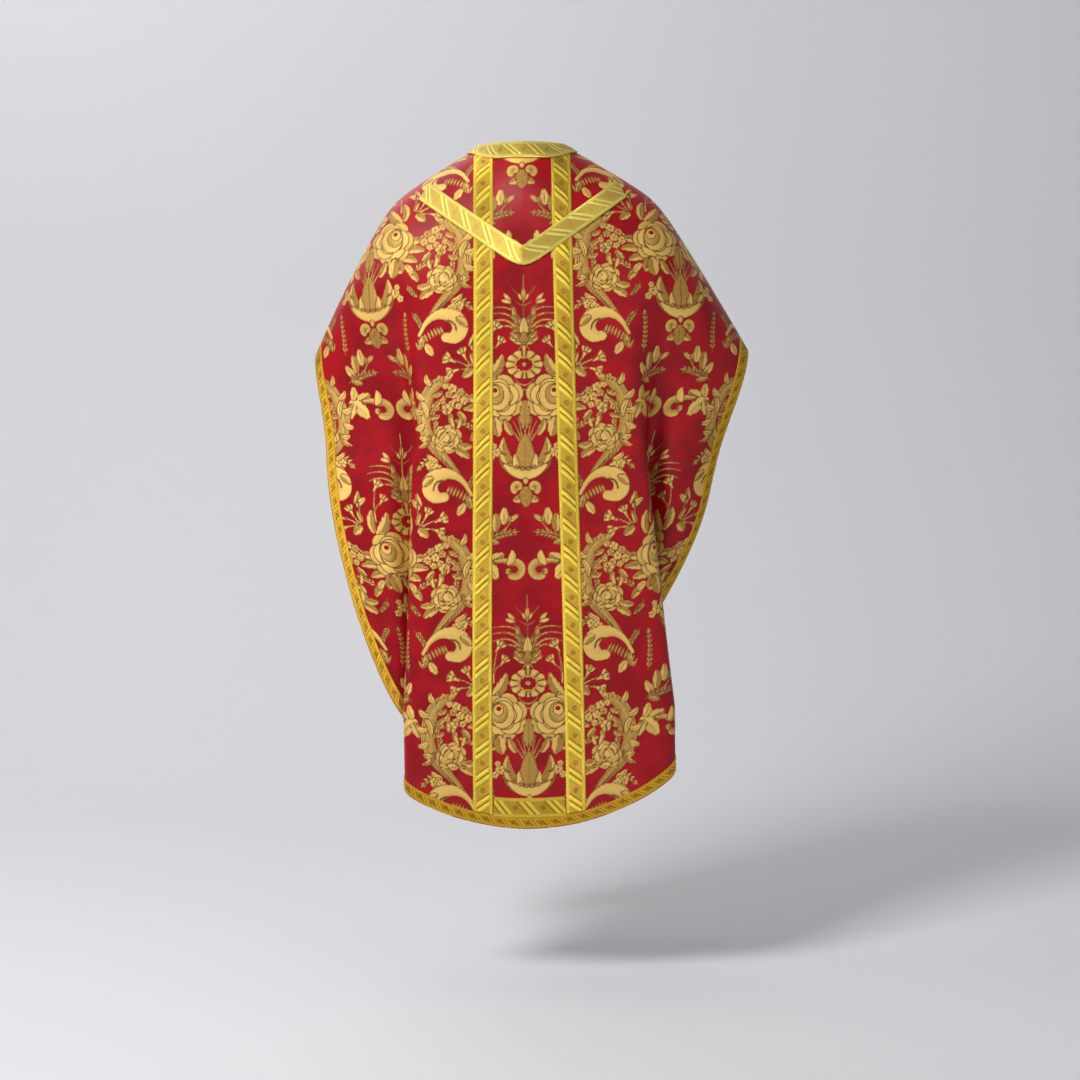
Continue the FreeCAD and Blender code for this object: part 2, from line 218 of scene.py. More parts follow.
class Drape:
    """One sheet of the garment as it hangs: turns (column, height) into a place."""

    ROLL_LENGTH = 0.200
    RIDGE_REACH = 0.080
    STEP_B = 0.0005
    STEP_DROP = 0.003
    HIGHEST = -0.060
    LOWEST = 1.200
    FLARE_REACH = 1.100

    def __init__(self, face: Face, depth: float, flare: float, left: Fold, right: Fold) -> None:
        """Tabulate both quarters' sections.

        Args:
            face: which sheet this is.
            depth: distance of the sheet from the shoulder line, at the shoulder blades or chest.
            flare: extra distance at the hem.
            left: the fold on the wearer's left.
            right: the fold on the wearer's right.
        """
        self.face = face
        self.depth = depth
        self.flare = flare
        self.folds = (left, right)
        self.tables = [self._table(fold) for fold in self.folds]

    def _table(self, fold: Fold) -> tuple[Field, Field]:
        """Add up the cosine and sine of the section's angle along the cloth, for every drop."""
        b = np.arange(0.0, Cut.HALF + 0.004, self.STEP_B)
        drop = np.arange(self.HIGHEST, self.LOWEST, self.STEP_DROP)
        angle = fold.angle(b[None, :], drop[:, None])
        runs = []
        for share in (np.cos(angle), np.sin(angle)):
            middle = 0.5 * (share[:, 1:] + share[:, :-1]) * self.STEP_B
            runs.append(np.concatenate([np.zeros((len(drop), 1)), np.cumsum(middle, axis=1)], axis=1))
        return runs[0], runs[1]

    def _look_up(self, table: Field, b: Field, drop: Field) -> Field:
        """Read a table at distances from the middle and depths below the neck."""
        x = np.clip(b / self.STEP_B, 0.0, table.shape[1] - 1.001)
        y = np.clip((drop - self.HIGHEST) / self.STEP_DROP, 0.0, table.shape[0] - 1.001)
        return between(table.T, x, y)

    def ease(self, column: Field, height: Field) -> Field:
        """How far the cloth stands off its smooth course: a few long, shallow waves.

        Args:
            column: place along the cloth.
            height: place down the cloth.

        Returns:
            Metres along Y: products of sines, none near the neck and the ridge.
        """
        hand = np.tanh(column / 0.060)
        b = np.abs(column)
        below = np.clip(Cut.ridge(column) - height, 0.0, 1.0)
        wave = 2.2 * np.sin(23.0 * column + 3.0 * height + 0.7) * np.sin(6.1 * height + hand * 0.9)
        wave = wave + 1.3 * np.sin(47.0 * b - 9.0 * height) * np.sin(11.0 * height + 1.7 * hand)
        wave = wave + 0.8 * np.sin(31.0 * height + 22.0 * b * hand) * smooth((b - 0.100) / 0.150)
        return MM * wave * smooth((below - 0.010) / 0.120)

    def place(self, column: Field, height: Field) -> Field:
        """The places of points of the cloth.

        Args:
            column: distances from the middle line along the cloth, wearer's left negative.
            height: heights.

        Returns:
            An array of the same shape with a last axis of x, y, z.  Below the ridge the depth
            follows a quarter of an ellipse, and at the ridge every column passes at one x.
        """
        b = np.abs(column)
        crest = Cut.ridge(column)
        height = np.minimum(height, crest)
        below = crest - height
        out, forward, crest_out = (np.zeros_like(b) for _ in range(3))
        ridge_x = np.zeros_like(b)
        for fold, table, mask in zip(self.folds, self.tables, (column < 0.0, column >= 0.0)):
            out[mask] = self._look_up(table[0], b[mask], -height[mask])
            forward[mask] = self._look_up(table[1], b[mask], -height[mask])
            crest_out[mask] = self._look_up(table[0], b[mask], -crest[mask])
            ridge_x[mask] = b[mask] * (1.0 - fold.tip_pull * (b[mask] / Cut.HALF) ** 2)
        x = out + (ridge_x - crest_out) * np.exp(-below / self.RIDGE_REACH)
        over = 1.0 - np.minimum(below / self.ROLL_LENGTH, 1.0)
        depth = self.depth + self.flare * smooth(-height / self.FLARE_REACH) - forward
        off = depth * np.sqrt(np.maximum(1.0 - over * over, 0.0)) + self.ease(column, height)
        y = self.face.value * off
        return np.stack([np.copysign(x, column), y, height], axis=-1)

    def laid(self, column: Field, height: Field) -> Field:
        """Heights as the warp would measure them if the cloth were straightened out.

        Args:
            column: of a grid, the same along each row.
            height: of the grid, falling along each row.

        Returns:
            The heights, raised near the ridge by the extra cloth that rolls over the shoulder.
        """
        points = self.place(column, height)
        extra = np.linalg.norm(np.diff(points, axis=1), axis=-1) + np.diff(height, axis=1)
        extra = np.where(height[:, 1:] > Cut.ridge(column[:, 1:]) - self.ROLL_LENGTH, extra, 0.0)
        above = np.cumsum(extra[:, ::-1], axis=1)[:, ::-1]
        return height + np.concatenate([above, np.zeros((len(above), 1))], axis=1)


def hanging(face: Face) -> Drape:
    """The drape of one sheet, with the folds that its stiffness and the arms give it."""
    if face is Face.BACK:
        left = Fold(0.178, 0.035, 0.056, 0.026, 1.68, 0.41, 0.170, 0.21, 0.92, 0.114)
        right = Fold(0.180, 0.068, 0.058, 0.072, 1.76, 0.48, 0.229, 0.57, 1.31, 0.052)
        return Drape(face, 0.130, 0.050, left, right)
    left = Fold(0.176, 0.046, 0.069, 0.013, 1.58, 0.38, 0.128, 0.39, 0.66, 0.114)
    right = Fold(0.172, 0.026, 0.064, 0.056, 2.00, 0.48, 0.214, 0.20, 0.60, 0.052)
    return Drape(face, 0.118, 0.045, left, right)


# ---------------------------------------------------------------------------------------------
# Meshes from grids
# ---------------------------------------------------------------------------------------------


def slopes(points: Field) -> Field:
    """Unit normals of a grid of points, on the +Y side when u runs to +X and v runs down."""
    du = np.gradient(points, axis=0)
    dv = np.gradient(points, axis=1)
    normal = np.cross(du, dv)
    size = np.linalg.norm(normal, axis=-1, keepdims=True)
    return normal / np.maximum(size, 1e-12)


@dataclass
class Cloth:
    """A grid of a piece: places, outward normals, and what the finish reads at every point."""

    points: Field
    normals: Field
    uv: Field
    marks: dict[str, Field]

    @classmethod
    def hung(cls, drape: Drape, column: Field, height: Field, marks: dict[str, Field] | None = None,
             uv: Field | None = None) -> "Cloth":
        """Hang a grid of the cloth.

        Args:
            drape: the sheet that it belongs to.
            column: columns of the grid's points.
            height: their heights.
            marks: named numbers per point, for the finish.
            uv: places on the flat cloth, if they aren't column and height.

        Returns:
            The hung grid.
        """
        points = drape.place(column, height)
        normals = slopes(points) * drape.face.value
        flat = np.stack([column, height], axis=-1) if uv is None else uv
        return cls(points, normals, flat, marks or {})

    def lift(self, height: Field | float) -> "Cloth":
        """Move every point along its normal, by a number or by a grid of numbers, in metres."""
        shift = np.asarray(height)
        shift = shift[..., None] if shift.ndim else shift
        return Cloth(self.points + self.normals * shift, self.normals, self.uv, self.marks)

    def turned_under(self, thickness: float, turning: int = 3) -> "Cloth":
        """Turn all four edges under, so that the piece shows its thickness.

        Args:
            thickness: of the piece, in metres.
            turning: how many cells the turned edge reaches back beneath.

        Returns:
            The grid with two more rows on each side: the edge dropped by the thickness, and that
            line carried back under the cloth.
        """
        rows, columns = self.points.shape[:2]
        index = np.ix_(*(np.concatenate([[turning, 0], np.arange(n), [n - 1, n - 1 - turning]])
                         for n in (rows, columns)))
        under = np.zeros((rows + 4, columns + 4))
        under[:2, :] = under[-2:, :] = thickness
        under[:, :2] = under[:, -2:] = thickness
        points = self.points[index] - self.normals[index] * under[..., None]
        marks = {name: values[index] for name, values in self.marks.items()}
        return Cloth(points, self.normals[index], self.uv[index], marks)

    def mesh(self, name: str, outward: float) -> Piece:
        """Make the Blender object.

        Args:
            name: of the piece.
            outward: +1 if u x v already points outwards, -1 if the faces are to be turned.

        Returns:
            The object, linked to the scene, with its UV map and its marks.
        """
        rows, columns = self.points.shape[:2]
        count = rows * columns
        corner = (np.arange(rows - 1)[:, None] * columns + np.arange(columns - 1)[None, :]).ravel()
        quads = np.stack([corner, corner + columns, corner + columns + 1, corner + 1], axis=1)
        if outward < 0.0:
            quads = quads[:, ::-1]
        mesh = bpy.data.meshes.new(name)
        mesh.vertices.add(count)
        mesh.vertices.foreach_set("co", self.points.reshape(-1).astype(np.float32))
        mesh.loops.add(quads.size)
        mesh.loops.foreach_set("vertex_index", quads.reshape(-1).astype(np.int32))
        mesh.polygons.add(len(quads))
        mesh.polygons.foreach_set("loop_start", np.arange(0, quads.size, 4, dtype=np.int32))
        mesh.polygons.foreach_set("use_smooth", np.ones(len(quads), dtype=bool))
        mesh.update(calc_edges=True)
        layer = mesh.uv_layers.new(name="cloth")
        flat = self.uv.reshape(-1, 2)[quads.reshape(-1)]
        layer.data.foreach_set("uv", flat.reshape(-1).astype(np.float32))
        for mark, values in self.marks.items():
            attribute = mesh.attributes.new(mark, "FLOAT", "POINT")
            attribute.data.foreach_set("value", values.reshape(-1).astype(np.float32))
        mesh.validate()
        piece = bpy.data.objects.new(name + SUFFIX, mesh)
        bpy.context.scene.collection.objects.link(piece)
        return piece


# ---------------------------------------------------------------------------------------------
# The brocaded figure
# ---------------------------------------------------------------------------------------------


class Tone(Enum):
    """How light the gold thread of a motif is."""

    DEEP = 0.22
    MIDDLE = 0.50
    LIGHT = 0.78


class Board:
    """A drawing board in millimetres: one side of the figure's axis, x outwards and y down.

    Three fields grow as motifs are painted over each other: figure is the depth inside the gold
    area, vein is the depth inside a dark line, and tone is the lightness of the gold.
    """

    STEP = 0.5
    LIMIT = 4.0
    LINE = 0.75

    def __init__(self, width: float, above: float, below: float) -> None:
        """Lay out the board from x = -10 to width and from y = -above to below."""
        self.x0, self.y0 = -10.0, -above
        self.shape = (int((width - self.x0) / self.STEP) + 1, int((below + above) / self.STEP) + 1)
        self.figure = np.full(self.shape, -self.LIMIT)
        self.vein = np.full(self.shape, -self.LIMIT)
        self.tone = np.full(self.shape, Tone.MIDDLE.value)

    def window(self, x_low: float, x_high: float, y_low: float, y_high: float) -> tuple:
        """The part of the board about a motif, and the places of its points."""
        pad = self.LIMIT + 1.0
        i0 = max(int((x_low - pad - self.x0) / self.STEP), 0)
        i1 = min(int((x_high + pad - self.x0) / self.STEP) + 2, self.shape[0])
        j0 = max(int((y_low - pad - self.y0) / self.STEP), 0)
        j1 = min(int((y_high + pad - self.y0) / self.STEP) + 2, self.shape[1])
        x = self.x0 + self.STEP * np.arange(i0, max(i1, i0))
        y = self.y0 + self.STEP * np.arange(j0, max(j1, j0))
        return (slice(i0, i1), slice(j0, j1)), x[:, None] + 0.0 * y[None, :], y[None, :] + 0.0 * x[:, None]

    def around(self, path: Field, reach: float) -> tuple[tuple, Field, Field]:
        """The part of the board within reach of a path, and the places of its points."""
        low, high = path.min(axis=0) - reach, path.max(axis=0) + reach
        return self.window(low[0], high[0], low[1], high[1])

    def paint(self, part: tuple, depth: Field, tone: Field | float) -> None:
        """Paint a motif over what is there: its area, its outline and its tone."""
        depth = np.clip(depth, -self.LIMIT, self.LIMIT)
        outline = self.LINE - np.abs(depth)
        self.figure[part] = np.maximum(self.figure[part], depth)
        self.vein[part] = np.where(depth > self.LINE, -self.LIMIT, np.maximum(self.vein[part], outline))
        self.tone[part] = np.where(depth > 0.0, tone, self.tone[part])

    def score(self, part: tuple, where: Field, depth: Field) -> None:
        """Score dark lines into a motif, where they are wanted."""
        self.vein[part] = np.where(where, np.maximum(self.vein[part], depth), self.vein[part])

    def about(self, centre: Sequence[float], rx: float, ry: float) -> tuple[tuple, Field, Field]:
        """The part of the board about a centre, and its points' distances from the centre."""
        part, x, y = self.window(centre[0] - rx, centre[0] + rx, centre[1] - ry, centre[1] + ry)
        return part, x - centre[0], y - centre[1]

    @staticmethod
    def each(motif: Callable[..., None], *rows: tuple) -> None:
        """Paint one kind of motif once for every row of its arguments."""
        for row in rows:
            motif(*row)

    def cut(self, part: tuple, depth: Field) -> None:
        """Cut an area out of the figure, down to the ground."""
        self.figure[part] = np.minimum(self.figure[part], -depth)

    @staticmethod
    def bend(start: Sequence[float], end: Sequence[float], bow: float, count: int = 14) -> Field:
        """Points of a parabola from start to end, bowed to the left of the way by a share of it."""
        t = np.linspace(0.0, 1.0, count)[:, None]
        a, b = np.array(start, float), np.array(end, float)
        side = np.array([(b - a)[1], -(b - a)[0]])
        return a + (b - a) * t + side * bow * 4.0 * t * (1.0 - t)

    def line_depth(self, path: Field, half: Field, x: Field, y: Field) -> tuple[Field, Field, Field]:
        """Depth inside a band of changing half-width about a path.

        Returns:
            The depth, the share of the way along, and the side: negative left, positive right.
        """
        depth = np.full(x.shape, -99.0)
        along = np.zeros(x.shape)
        side = np.zeros(x.shape)
        for k in range(len(path) - 1):
            a, run = path[k], path[k + 1] - path[k]
            size = max(float(run @ run), 1e-9)
            t = np.clip(((x - a[0]) * run[0] + (y - a[1]) * run[1]) / size, 0.0, 1.0)
            dx, dy = x - a[0] - run[0] * t, y - a[1] - run[1] * t
            here = half[k] + (half[k + 1] - half[k]) * t - np.hypot(dx, dy)
            better = here > depth
            depth = np.where(better, here, depth)
            along = np.where(better, (k + t) / (len(path) - 1), along)
            side = np.where(better, np.sign(run[0] * dy - run[1] * dx), side)
        return depth, along, side

    def band(self, path: Field, half: Field, tone: Tone = Tone.MIDDLE, ribs: int = 0) -> None:
        """Paint a band along a path, and score as many ribs along it."""
        path, half = np.asarray(path, float), np.asarray(half, float)
        if half.ndim == 0:
            half = np.full(len(path), float(half))
        reach = float(half.max())
        part, x, y = self.around(path, reach)
        depth, along, side = self.line_depth(path, half, x, y)
        light = tone.value + 0.16 * side * np.clip(1.0 - depth / max(reach, 0.1), 0.0, 1.0)
        self.paint(part, depth, light)
        for k in range(ribs):
            share = (k + 1.0) / (ribs + 1.0)
            centre = np.interp(along, np.linspace(0.0, 1.0, len(half)), half)
            line = 0.42 - np.abs(depth - 2.0 * centre * share * 0.5)
            self.score(part, (along > 0.06) & (along < 0.94) & (depth > 0.9) & (side > 0.0), line)

    def stem(self, start: Sequence[float], end: Sequence[float], bow: float = 0.0, wide: float = 0.9,
             narrow: float = 0.6, tone: Tone = Tone.LIGHT) -> None:
        """Paint a thin bowed stem that narrows to its end."""
        path = self.bend(start, end, bow)
        self.band(path, np.linspace(wide, narrow, len(path)), tone)

    def leaf(self, base: Sequence[float], tip: Sequence[float], width: float, bow: float = 0.0,
             lobes: int = 0, tone: Tone = Tone.MIDDLE, rib: bool = True) -> None:
        """Paint a leaf: half-width grows as a sine of the way along, with notched lobes if asked."""
        path = self.bend(base, tip, bow, 20)
        t = np.linspace(0.0, 1.0, len(path))
        half = 0.5 * width * np.sin(math.pi * np.clip(0.06 + 0.94 * t, 0.0, 1.0) ** 0.85) ** 0.8
        reach = float(half.max()) + 1.0
        part, x, y = self.around(path, reach)
        depth, along, side = self.line_depth(path, half, x, y)
        if lobes:
            notch = np.abs(np.sin(math.pi * (lobes * along + 0.15 * depth))) ** 0.7
            depth = depth - 0.22 * width * 0.5 * (1.0 - notch) * (along < 0.97)
        light = tone.value + 0.17 * side
        self.paint(part, depth, light)
        if rib:
            middle, _, _ = self.line_depth(path[1:-3], np.full(len(path) - 4, 0.45), x, y)
            self.score(part, depth > 0.8, middle)

    def twig(self, start: Sequence[float], end: Sequence[float], bow: float, pairs: int, length: float,
             tone: Tone = Tone.LIGHT) -> None:
        """Paint a herringbone twig: a stem with pairs of small leaves that point along it."""
        path = self.bend(start, end, bow, pairs + 2)
        self.stem(start, end, bow, 0.8, 0.5, tone)
        for k in range(1, pairs + 2):
            way = path[k] - path[k - 1]
            way = way / np.linalg.norm(way)
            across = np.array([-way[1], way[0]])
            size = length * (1.0 - 0.35 * k / (pairs + 1.0))
            for hand in (-1.0, 1.0):
                tip = path[k] + way * size * 0.75 + across * hand * size * 0.72
                self.leaf(path[k] - way, tip, 3.2, 0.08 * hand, 0, tone, False)
        self.leaf(path[-1] - way, path[-1] + way * length, 3.4, 0.0, 0, tone, False)

    def daisy(self, centre: Sequence[float], rx: float, ry: float, petals: int, core: float) -> None:
        """Paint a round flower seen from the front, with a rayed eye down to the ground."""
        part, dx, dy = self.about(centre, rx, ry)
        dx, dy = dx / rx, dy / ry
        r, turn = np.hypot(dx, dy), np.arctan2(dy, dx)
        petal = np.abs(np.cos(0.5 * petals * turn))
        rim = 0.86 + 0.14 * petal ** 0.5
        scale = 0.5 * (rx + ry)
        self.paint(part, (rim - r) * scale, 0.42 + 0.36 * petal * np.clip(2.0 * (r - 0.4), 0.0, 1.0))
        gap = (0.30 - petal) * 2.2
        self.score(part, (r > core + 0.06) & (r < 0.90), gap)
        ray = np.cos(petals * turn)
        eye = (core - np.abs(r - 0.62 * core) * 2.6) * scale * 0.55 + 1.6 * ray - 0.6
        self.cut(part, np.clip(eye, -self.LIMIT, self.LIMIT))

    def floret(self, centre: Sequence[float], radius: float, petals: int = 5, turn: float = 0.0,
               tone: Tone = Tone.LIGHT) -> None:
        """Paint a small open flower with rounded petals and a dark dot."""
        part, dx, dy = self.about(centre, radius, radius)
        r, angle = np.hypot(dx, dy), np.arctan2(dy, dx) + turn
        petal = np.abs(np.cos(0.5 * petals * angle))
        self.paint(part, (0.62 + 0.38 * petal ** 0.6) * radius - r, tone.value)
        gap = np.maximum((0.34 - petal) * 1.6, 0.10 * radius + 0.35 - r)
        self.score(part, r < 0.62 * radius, gap)

    def rose(self, centre: Sequence[float], rx: float, ry: float, lean: float, eye: bool = True) -> None:
        """Paint a full rose: rings of overlapping petals, from the outside in."""
        rings = ((1.00, 7, 0.46, Tone.MIDDLE), (0.66, 5, 0.46, Tone.LIGHT), (0.36, 4, 0.36, Tone.MIDDLE))
        for spread, count, size, tone in rings:
            for k in range(count):
                angle = lean + 2.0 * math.pi * (k + 0.5 * (count % 2)) / count
                px = centre[0] + rx * spread * 0.60 * math.cos(angle)
                py = centre[1] + ry * spread * 0.60 * math.sin(angle)
                self.petal((px, py), rx * size, ry * size, angle, tone)
        if eye:
            part, dx, dy = self.about(centre, 5.0, 5.0)
            r = np.hypot(dx, dy)
            self.paint(part, 5.0 - r, Tone.DEEP.value)
            self.cut(part, np.clip(3.2 - r, -self.LIMIT, self.LIMIT))

    def petal(self, centre: Sequence[float], rx: float, ry: float, angle: float, tone: Tone) -> None:
        """Paint one rounded petal with a lighter rim on the side that the angle points to."""
        reach = max(rx, ry)
        part, dx, dy = self.about(centre, reach, reach)
        dx, dy = dx / rx, dy / ry
        r = np.hypot(dx, dy)
        outward = dx * math.cos(angle) + dy * math.sin(angle)
        self.paint(part, (1.0 - r) * 0.5 * (rx + ry), tone.value + 0.20 * outward * r)

    def bell(self, base: Sequence[float], mouth: Sequence[float], width: float) -> None:
        """Paint a bell flower from its base to its open, three-pointed mouth."""
        a, b = np.array(base, float), np.array(mouth, float)
        way = (b - a) / np.linalg.norm(b - a)
        across = np.array([-way[1], way[0]])
        t = np.linspace(0.0, 1.0, 10)
        self.band(a + (b - a) * t[:, None], 0.10 * width + 0.34 * width * t ** 2.2, Tone.LIGHT)
        for hand in (-1.0, 0.0, 1.0):
            root = b - way * 0.25 * width + across * hand * 0.20 * width
            tip = b + way * (0.42 - 0.12 * abs(hand)) * width + across * hand * 0.62 * width
            self.leaf(root, tip, 0.36 * width, 0.0, 0, Tone.LIGHT, False)

    def scroll(self, centre: Sequence[float], radius: float, start: float, turns: float, half: float,
               tone: Tone = Tone.MIDDLE) -> Field:
        """Paint a volute: a band that winds in, its half-width shrinking with its radius.

        Returns:
            The path, from the outer end to the inner one.
        """
        t = np.linspace(0.0, 1.0, int(30 * abs(turns)) + 8)
        angle = start + 2.0 * math.pi * turns * t
        r = radius * (1.0 - 0.72 * t)
        path = np.stack([centre[0] + r * np.cos(angle), centre[1] + r * np.sin(angle)], axis=1)
        self.band(path, half * (1.0 - 0.30 * t), tone)
        return path


class Repeat:
    """One repeat of the brocade: upright axes with a half drop from one axis to the next."""

    HEIGHT = 538.0
    SPACING = 270.0
    FIRST_SPIKE = -0.225

    def __init__(self) -> None:
        """Draw one side of an axis, then lay the copies over each other."""
        self.board = Board(196.0, 112.0, 530.0)
        self._spike()
        self._middle()
        self._vase()
        self._sprigs()
        self._side_scroll()
        self._foliage()
        self._side_flowers()
        self.fields = self._laid()

    def _spike(self) -> None:
        """The palmette with its fronds and the flowering spike above it."""
        b = self.board
        for x, y, bow in ((58, 56, 0.34), (62, 68, 0.30), (60, 80, 0.26), (48, 90, 0.24)):
            path = b.bend((6, 104), (x, y), bow, 20)
            b.band(path, np.linspace(2.4, 0.9, 20))
        for x, y in ((14, 82), (20, 90), (25, 99)):
            b.leaf((3, 108), (x, y), 8, 0.12)
        b.stem((0, 92), (0, 0), 0, 1.2, 0.8)
        for x, y, fx, fy in ((0, 40, 20.5, 19.5), (0, 52, 14, 44), (2, 78, 23, 48)):
            b.stem((x, y), (fx, fy), -0.06, 1, 0.6)
        for x, y in ((34, 31), (38, 43)):
            b.leaf((22, 47), (x, y), 7, 0.05, 0, Tone.LIGHT, False)
        b.each(b.leaf, ((16, 70), (20, 52), 8, 0.10, 2), ((10, 78), (24, 66), 6.5, 0, 2),
               ((0, 42), (0, 20), 8, 0, 2), ((3, 42), (9, 31), 5, 0, 0, Tone.LIGHT, False),
               ((0, 104), (0, 72), 15, 0))
        for x, y, width in ((25, 104, 13), (22, 94, 9), (15, 114, 12)):
            b.leaf((3, 108), (x, y), width, -0.08, 3)
        b.leaf((0, 98), (0, 121), 15, 0, 3)
        b.band([(0, 116), (0, 133)], 2.4, Tone.LIGHT, 1)
        b.stem((2, 118), (9, 128), 0.1, 1.2, 0.8)

    def _middle(self) -> None:
        """The daisy, its leaves, the bell flowers beside it and the two roses beneath."""
        b = self.board
        b.each(b.stem, ((58, 150), (50, 92), -0.05, 1.3, 0.9), ((57, 132), (44, 118), -0.10, 1.1, 0.8))
        b.each(b.bell, ((54, 97), (45, 84), 15), ((47, 121), (38, 109), 13))
        b.each(b.leaf, ((60, 172), (37, 132), 20, 0.12, 5), ((66, 168), (62, 128), 15, -0.10, 4))
        b.daisy((0, 151), 31.5, 24.5, 11, 0.46)
        b.each(b.stem, ((0, 186), (16, 175), -0.1, 1.2, 0.8), ((0, 194), (11, 183), -0.1, 1.2, 0.8))
        b.floret((52, 172), 5.5, 5)
        for base, tip in (((70, 214), (104, 206)), ((68, 226), (106, 226)),
                          ((60, 238), (92, 246))):
            b.leaf(base, tip, 15, 0.08, 4)
        b.rose((42, 208), 39, 39, 0.4, False)
        b.each(b.petal, ((44, 204), 20, 24, -0.4, Tone.LIGHT), ((49, 201), 14, 17, -0.6, Tone.MIDDLE),
               ((51, 196), 9, 10, 2.4, Tone.LIGHT))
        part, x, y = b.window(45, 57, 188, 200)
        r = np.hypot((x - 50) / 1.15, y - 194)
        b.cut(part, np.clip(4 - r, -b.LIMIT, b.LIMIT))
        for x, y, width in ((62, 264, 22), (44, 272, 22)):
            b.leaf((50, 243), (x, y), width, 0.05, 4)

    def _vase(self) -> None:
        """The tulip in its cradle of leaves, the buds that rise from it and the shell below."""
        b = self.board
        for x, y, bow in ((12, 240, 0.03), (20, 246, 0.05), (38, 244, 0.06)):
            b.stem((4, 292), (x, y), bow, 1.3, 0.8)
        b.each(b.leaf, ((22, 268), (34, 242), 13, -0.05, 3), ((0, 258), (0, 208), 19, 0, 4, Tone.DEEP))
        b.stem((0, 290), (0, 255), 0, 1.5, 1.2)
        b.each(b.leaf, ((10, 338), (36, 272), 22, -0.16), ((0, 342), (0, 266), 31, 0, 0, Tone.DEEP),
               ((12, 336), (17, 300), 12, -0.05, 0, Tone.LIGHT, False))
        x, t = np.linspace(-6, 39, 16), np.linspace(-0.15, 1, 16)
        path = np.stack([x, 336 - 20 * t ** 2], axis=1)
        b.band(path, 8.5 - 7.4 * np.linspace(0, 1, 16) ** 3, Tone.LIGHT)
        for x in (5, 15, 25):
            b.floret((x, 326 - 0.012 * x * x), 3.6, 5, 0.3, Tone.MIDDLE)
        b.each(b.floret, ((49, 298), 8.5, 6, 0.2), ((58, 307), 6.5, 5, 0.5), ((53, 288), 5.5, 5, 0.1))
        b.each(b.stem, ((44, 306), (37, 318), 0.1, 1, 0.7), ((41, 298), (33, 302), 0.1, 1, 0.7))
        b.each(b.leaf, ((6, 372), (22, 380), 13, -0.1, 3), ((0, 360), (0, 391), 22, 0, 4))
        b.scroll((13.5, 357), 8.5, 0.9, -0.80, 5.2)
        b.leaf((0, 343), (0, 352), 8, 0, 0, Tone.LIGHT, False)

    def _sprigs(self) -> None:
        """The leafy edge behind the braid, the two sprigs and the facing hooks under the shell."""
        b = self.board
        b.twig((66, 402), (64, 338), 0.04, 7, 9)
        b.stem((62, 446), (20, 404), 0.10, 1.5, 0.8)
        b.each(b.leaf, ((28, 414), (12, 402), 8, 0.05, 2, Tone.LIGHT),
               ((38, 420), (24, 406), 8, -0.05, 2, Tone.LIGHT),
               ((38, 418), (36, 390), 15, 0, 3, Tone.LIGHT), ((52, 430), (52, 400), 16, 0.05, 3),
               ((58, 440), (70, 418), 14, -0.05, 3, Tone.LIGHT))
        b.twig((72, 450), (24, 434), -0.05, 6, 14, Tone.MIDDLE)
        b.each(b.leaf, ((66, 446), (44, 452), 9, 0.05, 3), ((70, 482), (38, 468), 21, 0.10, 4),
               ((78, 486), (50, 514), 25, -0.12, 4, Tone.LIGHT), ((72, 488), (84, 514), 17, 0.08, 3),
               ((72, 478), (66, 456), 15, 0.08, 3, Tone.LIGHT))
        t = np.linspace(0, 1, 24)
        angle = math.radians(-62) - math.radians(235) * t
        hook = np.stack([20.5 + 12 * np.cos(angle), 496 + 12.5 * np.sin(angle)], axis=1)
        half = np.concatenate([[3, 4], 6.6 - 1.6 * np.abs(t - 0.45)])
        b.band(np.concatenate([[(52, 482), (38, 481)], hook]), half)
        b.leaf((31, 487), (25, 463), 13, 0.16, 0, Tone.LIGHT, False)
        b.floret((30.5, 499.5), 5.6, 1, 0, Tone.MIDDLE)

    def _side_scroll(self) -> None:
        """The great acanthus scroll at the side of an axis, with its comma and its rose."""
        b = self.board
        b.twig((118, 8), (107, -52), -0.10, 9, 9)
        trunk = np.array([(146, -97), (128, -91), (112, -78), (102, -56), (98, -30),
                          (102, -6), (115, 18), (133, 38), (153, 62), (172, 92)])
        trunk = self._eased(trunk, 5)
        t = np.linspace(0, 1, len(trunk))
        half = 1 + 10.5 * np.sin(math.pi * np.clip(t, 0, 1) ** 0.75) ** 0.8
        b.band(trunk, half, Tone.MIDDLE, 3)
        b.each(b.leaf, ((104, -30), (88, -62), 10, -0.15, 0, Tone.LIGHT), ((108, 0), (86, 20), 9, 0.22))
        b.twig((112, 40), (92, 52), -0.10, 2, 12, Tone.LIGHT)
        for x, y, radius in ((108, 50, 8), (120, 55, 8.5), (112, 62, 6.5)):
            b.floret((x, y), radius, 5, 0.4)
        b.leaf((122, 44), (102, 30), 9, 0.10, 2, Tone.LIGHT)
        b.rose((138, 6), 25, 23, 0.9, False)
        b.petal((134, 4), 9, 8, 0.6, Tone.LIGHT)
        b.each(b.leaf, ((150, -14), (146, -34), 7, 0.1, 2, Tone.LIGHT, False),
               ((156, -12), (160, -30), 7, -0.1, 2, Tone.LIGHT, False), ((154, 26), (176, 40), 15, 0.10, 3),
               ((158, 16), (182, 18), 13, -0.10, 3))
        for k in range(9):
            share = k / 8
            x, y = 136 + 44 * share, 93 + 26 * share ** 1.6
            b.leaf((x, y + 6), (x + 7, y - 9), 3.6, 0.05, 0, Tone.MIDDLE, False)
        comma = np.array([(178, 100), (164, 78), (146, 66), (126, 66), (111, 76),
                          (108, 92), (118, 104), (132, 104)])
        comma = self._eased(comma, 5)
        t = np.linspace(0, 1, len(comma))
        b.band(comma, 3 + 10.5 * smooth(t / 0.62) - 5.5 * smooth((t - 0.70) / 0.30), Tone.LIGHT)
        b.leaf((112, 72), (96, 87), 13, -0.10, 0, Tone.MIDDLE, False)
        b.stem((132, 76), (114, 92), -0.25, 0.8, 0.5, Tone.DEEP)

